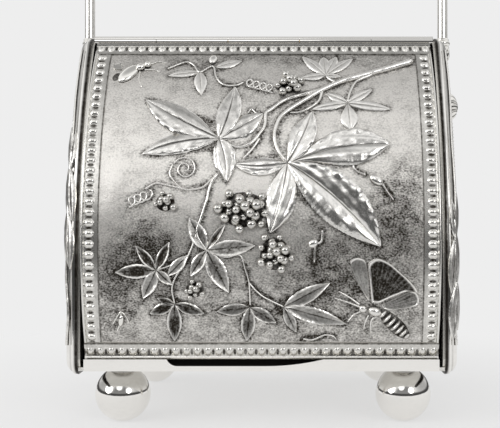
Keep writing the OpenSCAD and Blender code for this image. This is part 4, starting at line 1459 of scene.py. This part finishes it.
@dataclass(frozen=True)
class EndPanels:
    """The two end panels with their rounded edges, bead rows and vine relief.

    Angles and the width of the line are in radians round the edge, from its rim to the flat face. The
    groove beside the line is as wide, and is set off by a number of widths.
    """

    rim_inset: float = 6.0
    soften: float = 0.35
    first_angle: float = 0.08
    edge_steps: int = 36
    flat_steps: Point = (0.4, 1.2)
    line_at: float = 0.36
    line_rise: float = 0.32
    line_width: float = 0.09
    groove_off: float = 2.4
    groove_share: float = 0.5
    groove_shade: float = 0.25
    rim_shade: Point = (0.4, 0.9)
    grey: float = 0.7
    grey_angle: Point = (0.42, 0.8)
    grey_from: Point = (42.0, 75.0)
    bead_r: float = 0.42
    bead_long: float = 1.5
    bead_sunk: float = 0.1
    bead_pitch: float = 1.7
    bead_out: float = 7.4
    bead_span: Point = (70.0, 140.0)
    left_rise: float = 30.0

    def build(self) -> None:
        """Makes both panels and what is worked on them."""
        outline = PanelOutline.from_frame()
        for side in Side:
            low, high = box_mm(side.named("end_panel"))
            inner, outer = sorted((abs(low.x), abs(high.x)))
            self.build_panel(outline, side, inner, outer)
            self.build_relief(outline, side, inner, outer)

    def build_panel(self, outline: PanelOutline, side: Side, inner: float, outer: float) -> None:
        """Makes one smooth panel, with a raised line along its rim and painted shade inside the line.

        Args:
            outline: The panels' outline.
            side: End of the box that it closes.
            inner: Distance of its rim from the middle of the box.
            outer: Distance of its face from the middle of the box.
        """
        points, normals, _ = outline.trace()
        round_r = outer - inner
        angle = np.linspace(self.first_angle, math.pi / 2, self.edge_steps)
        groove_at = self.line_at + self.groove_off * self.line_width
        line, groove = (np.exp(-((angle - at) / self.line_width) ** 2) for at in (self.line_at, groove_at))
        reach = round_r + self.line_rise * (line - self.groove_share * groove)
        insets = [
            self.rim_inset, self.soften, *(round_r - reach * np.cos(angle)),
            *(round_r + step for step in self.flat_steps)]
        outs = [inner, inner, *(inner + reach * np.sin(angle)), outer, outer]
        # Painted shade by the gap to the lid: dark from the rim up to the line, faint in the groove.
        tarnish = 1 - eased(angle, *(share * self.line_at for share in self.rim_shade))
        tarnish = np.maximum(tarnish, self.groove_shade * groove)
        # The outer part of the edge is a darker grey, more so higher up.
        dull = self.grey * eased(angle, *self.grey_angle)[:, None] * eased(points[:, 1], *self.grey_from)
        tarnish = np.maximum(tarnish[:, None], dull)
        plain = np.zeros((2, len(points)))
        rings = np.stack([
            stacked(side.value * np.full(len(points), out), *(points - inset * normals).T)
            for inset, out in zip(insets, outs)])
        shell = Shell()
        # The inward lip is painted fully dark, as shade in the gap.
        shell.add_rings(rings, np.vstack([plain + 1, tarnish, plain]))
        name = side.named("end_panel")
        seat(shell.build(f"{name}_sheet", Finish.POLISHED), Body.CARCASS, Slot.SILVER, name)

    def build_relief(self, outline: PanelOutline, side: Side, inner: float, outer: float) -> None:
        """Makes one panel's bead row, vine and berries.

        Args:
            outline: The panels' outline.
            side: End of the box that it lies on.
            inner: Distance of the rim from the middle of the box.
            outer: Distance of the face from the middle of the box.
        """
        rim = PanelRim(outline, side, inner, outer - inner)
        raised = PanelRim(outline, side, inner, outer - inner, self.left_rise if side is Side.LEFT else 0.0)
        face = PanelFace(side, outer)
        radii = (self.bead_r, self.bead_long * self.bead_r, self.bead_r)
        runs = np.arange(self.bead_span[0], self.bead_span[1], self.bead_pitch)
        beads = carved((rim, [Egg((self.bead_out, run), -self.bead_sunk, radii) for run in runs]))
        seat(beads.build(side.named("rim_beads"), Finish.FROSTED), Body.CARCASS, Slot.SILVER)
        vine = carved((raised, [RIM_SPRAY]), (rim, [RIM_STEM]), (face, (*FACE_SPRAYS, *FACE_STEMS)))
        foliage = side.named("panel_foliage")
        seat(vine.build(side.named("panel_vine"), Finish.BURNISHED), Body.CARCASS, Slot.SILVER, foliage)
        heaps = carved((face, FACE_BERRIES)).build(side.named("panel_berry_heaps"), Finish.CHASED)
        seat(heaps, Body.CARCASS, Slot.SILVER, side.named("panel_berries"))


def turned(profile: Array, sides: int, centre: Vector) -> Array:
    """Turns a profile round an upright axis.

    Args:
        profile: Radii and heights over the centre, in millimetres.
        sides: Points in each ring.
        centre: Origin of the axis.

    Returns:
        Rings of points in metres.
    """
    turn = full_turn(sides)
    radius, height = profile[:, :1], profile[:, 1:]
    return stacked(centre.x + radius * np.cos(turn), centre.y + radius * np.sin(turn), centre.z + height)


@dataclass(frozen=True)
class BallFeet:
    """The four ball feet, each turned with a short neck and a ring under the base, and darker near the
    neck.

    The chamfers are those under and over the ring. The darker part is a painted reflection of the box's
    dark underside; it sets in over a range of heights, in shares of the height of the ball's middle.
    """

    flat: float = 0.2
    neck_r: float = 5.5
    ring_r: float = 6.6
    ring_h: float = 1.6
    chamfers: Point = (0.4, 0.3)
    dull: float = 0.3
    mirrored_dark_from: Point = (1.05, 1.5)
    ball_steps: int = 60
    sides: int = 72

    def build(self) -> None:
        """Makes the feet in the places of their solids."""
        for place in ("front_left", "front_right", "rear_left", "rear_right"):
            self.build_foot(place)

    def build_foot(self, place: str) -> None:
        """Makes one foot.

        Args:
            place: Corner of the base that it carries.
        """
        node = f"{place}_foot"
        low, high = box_mm(node)
        top = high.z - low.z
        ball_r = (high.x - low.x) / 2
        middle = ball_r - self.flat
        first = math.acos(middle / ball_r)
        last = math.pi - math.asin(self.neck_r / ball_r)
        angle = np.linspace(first, last, self.ball_steps)
        ball = np.stack([ball_r * np.sin(angle), middle - ball_r * np.cos(angle)], axis=-1)
        under, over = self.chamfers
        ring = np.array([
            (self.neck_r, top - self.ring_h), (self.ring_r - under, top - self.ring_h),
            (self.ring_r, top - self.ring_h + under), (self.ring_r, top - over), (self.ring_r - over, top)])
        profile = np.vstack([ball, ring])
        # Painted reflection: the upper part of each ball darkens where it mirrors the box's dark underside.
        dull = self.dull * eased(profile[:, 1:] / middle, *self.mirrored_dark_from)
        centre = Vector(((low.x + high.x) / 2, (low.y + high.y) / 2, low.z))
        shell = Shell()
        shell.add_rings(turned(profile, self.sides, centre), np.repeat(dull, self.sides, axis=1))
        seat(shell.build(f"{place}_ball_foot", Finish.POLISHED), Body.CARCASS, Slot.SILVER, node)


@dataclass(frozen=True)
class CollarBarrel:
    """The outside of the handle's arm just over the strap, measured round it and downwards."""

    axis_x: float
    axis_y: float
    top_z: float
    radius: float

    def place(self, u: Array, v: Array, h: Array) -> Array:
        """Turns places on the barrel and heights over it into points.

        Args:
            u: Millimetres round the barrel.
            v: Millimetres down from its top.
            h: Millimetres out from it.

        Returns:
            Points in metres.
        """
        angle = u / self.radius
        reach = self.radius + h
        x, y = self.axis_x + reach * np.sin(angle), self.axis_y - reach * np.cos(angle)
        return stacked(x, y, self.top_z - v)


@dataclass(frozen=True)
class Handle:
    """The bail, its leaf collars and the petalled knobs that it swings on.

    A collar's outline is given by distances out from the rod or from the collar's reach, and shares of its
    height, and a knob's foot by distances out from its radius, and heights. Places on a knob's dome are
    angles in radians. Petals narrow the knob by a share and sink by a depth, and the ring round its button
    is cut by two depths.
    """

    bend_r: float = 22.0
    sides: int = 32
    bend_steps: int = 24
    arm_steps: int = 40
    collar_low: tuple[Point, ...] = ((-0.4, 0.36), (0.1, 0.4))
    collar_ring: tuple[Point, ...] = (
        (-0.3, 0.62), (-0.7, 0.66), (-0.1, 0.72), (0.0, 0.78), (-0.1, 0.84), (-0.7, 0.9), (-0.5, 0.95))
    collar_high: tuple[Point, ...] = ((0.2, 1.0), (-0.4, 1.0))
    collar_sides: int = 48
    leaf_count: int = 4
    leaf_width: float = 3.6
    leaf_wide_at: float = 0.5
    leaf_top: float = 0.66
    leaf_reach: float = 0.64
    leaf_step: float = 0.3
    knob_h: float = 6.2
    knob_swell: float = 1.12
    knob_base: float = 1.2
    knob_steps: int = 20
    shaft_r: float = 2.2
    knob_foot: tuple[Point, ...] = ((-2.6, 0.0), (-2.4, 0.5), (-0.5, 0.7))
    petals: int = 10
    petal_sides: int = 10
    petal_cut: Point = (0.13, 0.3)
    petal_start: Point = (0.05, 0.2)
    petal_end: Point = (1.0, 1.1)
    petal_shade: float = 0.7
    button_at: float = 1.12
    button_width: float = 0.07
    button_cut: Point = (0.25, 0.3)
    button_shade: float = 0.6

    def build(self) -> None:
        """Makes the bail, the collars and the knobs."""
        low, high = box_mm("handle_bail")
        rod_r = (high.y - low.y) / 2
        self.build_bail(low, high, rod_r)
        for side in Side:
            self.build_collar(side, Vector((side.value * (high.x - rod_r), (low.y + high.y) / 2, 0)), rod_r)
            self.build_knob(side)

    def build_bail(self, low: Vector, high: Vector, rod_r: float) -> None:
        """Makes the round rod that runs up, across and down.

        Args:
            low: Lowest corner of its solid.
            high: Highest corner of its solid.
            rod_r: Radius of the rod.
        """
        arm_x, top_z = high.x - rod_r, high.z - rod_r
        bend = np.radians(np.linspace(0, 90, self.bend_steps))
        rise = np.linspace(low.z, top_z - self.bend_r, self.arm_steps)[:-1]
        half_x = np.concatenate([np.full(len(rise), -arm_x), -arm_x + self.bend_r * (1 - np.cos(bend))])
        half_z = np.concatenate([rise, top_z - self.bend_r + self.bend_r * np.sin(bend)])
        x = np.concatenate([half_x, [0.0], -half_x[::-1]])
        z = np.concatenate([half_z, [top_z], half_z[::-1]])
        heading = np.stack([np.gradient(x), np.gradient(z)], axis=-1)
        heading /= np.linalg.norm(heading, axis=1)[:, None]
        turn = full_turn(self.sides)
        across, along_y = rod_r * np.cos(turn), rod_r * np.sin(turn)
        rings = stacked(
            x[:, None] + heading[:, 1:] * across, (low.y + high.y) / 2 + along_y,
            z[:, None] - heading[:, :1] * across)
        shell = Shell()
        shell.add_rings(rings)
        seat(shell.build("handle_rod", Finish.WORN), Body.HANDLE, Slot.SILVER, "handle_bail")

    def build_collar(self, side: Side, axis: Vector, rod_r: float) -> None:
        """Makes a ring round the rod, with leaves that hang from it over the strap.

        Args:
            side: Arm that it is on.
            axis: Place of the arm.
            rod_r: Radius of the rod.
        """
        node = side.named("leaf_collar")
        low, high = box_mm(node)
        reach = (high.x - low.x) / 2
        tall = high.z - low.z
        parts = ((rod_r, self.collar_low), (reach, self.collar_ring), (rod_r, self.collar_high))
        profile = np.array([(start + out, share * tall) for start, part in parts for out, share in part])
        barrel = CollarBarrel(axis.x, axis.y, low.z + self.leaf_top * tall, rod_r)
        pitch = 2 * math.pi * rod_r / self.leaf_count
        tip = self.leaf_reach * tall
        blades = tuple(
            Blade((pitch * leaf, tip), self.leaf_width, self.leaf_wide_at, base=(pitch * leaf, 0.0))
            for leaf in range(self.leaf_count))
        leaves = Spray("collar_leaves", LeafForm.LOW, (0, 0), blades, step=self.leaf_step)
        shell = carved((barrel, [leaves]))
        centre = Vector((axis.x, axis.y, low.z))
        shell.add_rings(turned(profile, self.collar_sides, centre), joined=True)
        seat(shell.build(f"{node}_leaves", Finish.CHASED), Body.HANDLE, Slot.SILVER, node)

    def build_knob(self, side: Side) -> None:
        """Makes a domed knob cut into petals round a button.

        Args:
            side: End of the box that it is on.
        """
        node = side.named("rosette_knob")
        low, high = box_mm(node)
        radius = self.knob_swell * (high.z - low.z) / 2
        start = max(abs(low.x), abs(high.x)) - self.knob_h
        angle = np.linspace(0, math.pi / 2, self.knob_steps)
        up = self.knob_base + (self.knob_h - self.knob_base) * np.sin(angle)
        dome = np.stack([radius * np.cos(angle), up], axis=-1)
        foot = [(self.shaft_r, 0.0), *((radius + out, height) for out, height in self.knob_foot)]
        profile = np.vstack([foot, dome[:-1]])
        turn = full_turn(self.petal_sides * self.petals)
        rise = np.concatenate([np.zeros(len(foot)), angle[:-1]])[:, None]
        petal = (1 - np.abs(np.cos(self.petals / 2 * turn))) ** 2
        cut = petal * eased(rise, *self.petal_start) * (1 - eased(rise, *self.petal_end))
        ring = np.exp(-((rise - self.button_at) / self.button_width) ** 2) + 0 * turn
        reach = profile[:, :1] * (1 - self.petal_cut[0] * cut) - self.button_cut[0] * ring
        along = profile[:, 1:] - self.petal_cut[1] * cut - self.button_cut[1] * ring
        centre = Vector((side.value * start, (low.y + high.y) / 2, (low.z + high.z) / 2))
        rings = stacked(
            centre.x + side.value * along, centre.y + reach * np.cos(turn), centre.z + reach * np.sin(turn))
        # The knob's foot is painted fully dark, as shadow at its base.
        under = (np.arange(len(profile)) < len(foot))[:, None]
        shade = np.maximum(np.maximum(self.petal_shade * cut, self.button_shade * ring), under)
        shell = Shell()
        shell.add_rings(rings, shade.clip(0, 1))
        seat(shell.build(f"{node}_petals", Finish.CHASED), Body.CARCASS, Slot.SILVER, node)


@dataclass(frozen=True)
class CoverSheets:
    """The top plate with its bent back edge, and the back panel with its bent low edge."""

    back_r: float = 14.0
    low_r: float = 7.0
    sheet: float = 1.5
    bend_steps: int = 24
    columns: int = 12

    def build(self) -> None:
        """Makes both sheets in the places of their solids."""
        low, high = box_mm("top_plate")
        middle = (high.y - self.back_r, high.z - self.back_r)
        outer, inner = (
            [(low.y, high.z - inset), *self.arc(middle, self.back_r - inset, 90, 0)]
            for inset in (0.0, self.sheet))
        self.build_sheet("top_plate", low.x, high.x, outer + inner[::-1])
        low, high = box_mm("back_panel")
        middle = (high.y - self.low_r, low.z + self.low_r)
        outer, inner = (
            [(high.y - inset, high.z), *self.arc(middle, self.low_r - inset, 0, -90)]
            for inset in (0.0, self.sheet))
        self.build_sheet("back_panel", low.x, high.x, outer + inner[::-1])

    def arc(self, middle: Point, radius: float, first: float, last: float) -> list[Point]:
        """Gives points on an arc, from one angle to another in degrees."""
        angles = np.radians(np.linspace(first, last, self.bend_steps))
        return [(middle[0] + radius * math.cos(a), middle[1] + radius * math.sin(a)) for a in angles]

    def build_sheet(self, node: str, left: float, right: float, section: list[Point]) -> None:
        """Makes a sheet from its section.

        Args:
            node: Solid that it replaces.
            left: Where it begins.
            right: Where it ends.
            section: Points of the section as Y and Z.
        """
        points = np.array(section)
        columns = np.linspace(left, right, self.columns)[:, None]
        shell = Shell()
        shell.add_rings(stacked(columns, points[None, :, 0], points[None, :, 1]))
        seat(shell.build(f"{node}_sheet", Finish.POLISHED), Body.CARCASS, Slot.SILVER, node)


@dataclass(frozen=True)
class PlainFittings:
    """The solids whose shape is right as it is, and the finish of each."""

    polished: tuple[str, ...] = (
        "front_rail", "top_moulding", "hinge_body_leaf", "hinge_lid_leaf", "left_pivot_washer",
        "right_pivot_washer", "left_handle_strap", "right_handle_strap")
    satin: tuple[str, ...] = ("left_lining", "right_lining", "lid_panel")
    worn: tuple[str, ...] = ("base_plate",)
    brass: tuple[str, ...] = ("hinge_pin", "foot_screws", "pivot_nuts")
    oxidised: tuple[str, ...] = ("lid_stop",)

    def dress(self) -> None:
        """Gives each solid its finish."""
        for finish, nodes in (
            (Finish.POLISHED, self.polished), (Finish.SATIN, self.satin), (Finish.WORN, self.worn),
            (Finish.BRASS, self.brass), (Finish.OXIDISED, self.oxidised),
        ):
            for node in nodes:
                self.dress_node(node, finish.value.material())

    def dress_node(self, node: str, material: bpy.types.Material) -> None:
        """Puts a material in every slot of a solid.

        Args:
            node: Name of the solid.
            material: Material that it gets.
        """
        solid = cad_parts[node]
        if not solid.material_slots:
            solid.data.materials.append(material)
        for slot in solid.material_slots:
            slot.material = material
        LOG.info("%s gets %s", node, material.name)


@dataclass(frozen=True)
class RoomShade:
    """A change of the room's light along one axis of its directions, from a least share to all of it."""

    axis: str
    first: float
    last: float
    least: float = 0.0


@dataclass(frozen=True)
class Lamp:
    """A round soft lamp: its direction from the box, its diameter in metres and its power in watts."""

    name: str
    way: tuple[float, float, float]
    size: float
    watts: float

    away: float = 1.3
    aim: tuple[float, float, float] = (0.0, 0.0, 0.1)

    def hang(self) -> None:
        """Hangs the lamp so that it looks at the box."""
        light = bpy.data.lights.new(self.name, "AREA")
        light.shape = "DISK"
        light.size = self.size
        light.energy = self.watts
        lamp = bpy.data.objects.new(self.name, light)
        lamp.location = Vector(self.way).normalized() * self.away + Vector(self.aim)
        lamp.rotation_euler = Vector(self.way).to_track_quat("Z", "Y").to_euler()
        lamp.visible_camera = False
        bpy.context.scene.collection.objects.link(lamp)


@dataclass(frozen=True)
class Studio:
    """A pale table in a bright room, three soft lamps, and the camera.

    The metal sees a bright room that is dark at the horizon and to the front, except high up, and dimmed
    straight above, at both sides and behind.
    """

    camera_at: tuple[float, float, float] = (13.5, -490.9, 91.3)
    focal_mm: float = 72.0
    sensor_mm: float = 36.0
    axis_px: float = 293.5
    image_px: float = 500.0
    paper: str = "#EEEEEE"
    table_m: float = 6.0
    table_front: float = 0.32
    glow: float = 0.62
    glow_reach: Point = (0.10, 0.32)
    daylight: float = 0.80
    room_dark: float = 0.06
    room_top: RoomShade = RoomShade("Z", 0.50, 0.80)
    room_front: RoomShade = RoomShade("Y", -0.86, -0.66, 0.22)
    room_limits: tuple[RoomShade, ...] = (
        RoomShade("Z", 0.08, 0.26), RoomShade("Z", 0.98, 0.80, 0.4), RoomShade("X", -0.97, -0.60, 0.5),
        RoomShade("X", 0.97, 0.60, 0.5), RoomShade("Y", 0.90, 0.30, 0.6))
    lamps: tuple[Lamp, ...] = (
        Lamp("left_lamp", (-0.783, -0.549, 0.292), 0.75, 4.5),
        Lamp("right_lamp", (0.485, -0.84, 0.242), 0.50, 2.0),
        Lamp("front_lamp", (-0.15, -0.87, 0.47), 0.55, 1.1))

    def build(self) -> None:
        """Sets the camera, the table, the room and the lamps."""
        bpy.context.scene.view_settings.view_transform = "Standard"
        self.set_camera()
        self.set_table()
        self.set_room()
        for lamp in self.lamps:
            lamp.hang()

    def set_camera(self) -> None:
        """Places the level camera, shifted as the photograph is framed."""
        lens = bpy.data.cameras.new("camera")
        lens.lens = self.focal_mm
        lens.sensor_width = self.sensor_mm
        lens.shift_x = (self.image_px / 2 - self.axis_px) / self.image_px
        camera = bpy.data.objects.new("camera", lens)
        camera.location = Vector(self.camera_at) * MM
        camera.rotation_euler = (math.pi / 2, 0, 0)
        bpy.context.scene.collection.objects.link(camera)
        bpy.context.scene.camera = camera

    def set_table(self) -> None:
        """Lays a pale sheet that keeps the shadow and runs out into the background."""
        half, front = self.table_m / 2, -self.table_front
        mesh = bpy.data.meshes.new("table")
        corners = [(-half, front, 0), (half, front, 0), (half, half, 0), (-half, half, 0)]
        mesh.from_pydata(corners, [], [(0, 1, 2, 3)])
        paper = bpy.data.materials.new("paper_matt")
        paper.use_nodes = True
        tree = paper.node_tree
        tree.nodes.remove(tree.nodes["Principled BSDF"])
        spot = add_node(tree, "ShaderNodeTexCoord").outputs["Object"]
        away = add_node(tree, "ShaderNodeVectorMath", {"operation": "LENGTH"}, {0: spot}).outputs["Value"]
        # Painted light: the sheet glows by at least the glow share near the box, lightening the shadow.
        share = add_node(tree, "ShaderNodeMapRange", {"interpolation_type": "SMOOTHSTEP"}, {
            "Value": away, "From Min": self.glow_reach[0], "From Max": self.glow_reach[1],
            "To Min": self.glow}).outputs["Result"]
        near = add_node(tree, "ShaderNodeBsdfDiffuse", None, {"Color": linear(self.paper)})
        far = add_node(tree, "ShaderNodeEmission", None, {"Color": linear(self.paper), "Strength": 1.0})
        blend = add_node(tree, "ShaderNodeMixShader", None, {
            0: share, 1: near.outputs[0], 2: far.outputs[0]})
        tree.links.new(blend.outputs[0], tree.nodes["Material Output"].inputs["Surface"])
        mesh.materials.append(paper)
        table = bpy.data.objects.new("table", mesh)
        bpy.context.scene.collection.objects.link(table)

    def set_room(self) -> None:
        """Sets the room: plain paper for the camera, even daylight for matt things, shaded for metal."""
        world = bpy.data.worlds.new("room")
        bpy.context.scene.world = world
        world.use_nodes = True
        tree = world.node_tree
        rays = add_node(tree, "ShaderNodeLightPath").outputs
        way = add_node(tree, "ShaderNodeTexCoord").outputs["Generated"]
        parts = add_node(tree, "ShaderNodeSeparateXYZ", None, {0: way}).outputs
        top, front, *limits = (
            add_node(tree, "ShaderNodeMapRange", {"interpolation_type": "SMOOTHSTEP"}, {
                "Value": parts[shade.axis], "From Min": shade.first, "From Max": shade.last,
                "To Min": shade.least}).outputs["Result"]
            for shade in (self.room_top, self.room_front, *self.room_limits))
        lit = add_node(tree, "ShaderNodeMath", {"operation": "MAXIMUM"}, {0: top, 1: front}).outputs[0]
        for limit in limits:
            lit = add_node(tree, "ShaderNodeMath", {"operation": "MINIMUM"}, {0: lit, 1: limit}).outputs[0]
        mirror = add_node(tree, "ShaderNodeMapRange", None, {
            "Value": lit, "To Min": self.room_dark, "To Max": 1.0}).outputs["Result"]
        sharp = add_node(tree, "ShaderNodeMath", {"operation": "MAXIMUM"}, {
            0: rays["Is Glossy Ray"], 1: rays["Is Transmission Ray"]}).outputs[0]
        seen = add_node(tree, "ShaderNodeMix", None, {0: sharp, 2: self.daylight, 3: mirror}).outputs[0]
        level = add_node(tree, "ShaderNodeMix", None, {
            0: rays["Is Camera Ray"], 2: seen, 3: linear(self.paper)[0]}).outputs[0]
        tree.links.new(level, tree.nodes["Background"].inputs["Strength"])
        tree.nodes["Background"].inputs["Color"].default_value = (1, 1, 1, 1)


def main() -> None:
    """Builds and dresses the box, then sets the studio."""
    logging.basicConfig(level=logging.INFO, format="%(message)s")
    curve = LidCurve.from_frame()
    relief = LidRelief()
    LidField().build(curve, relief.sprays, relief.stems)
    LidBorder().build(curve)
    relief.build(curve)
    EndPanels().build()
    CoverSheets().build()
    BallFeet().build()
    Handle().build()
    PlainFittings().dress()
    Studio().build()


if __name__ == "__main__":
    main()
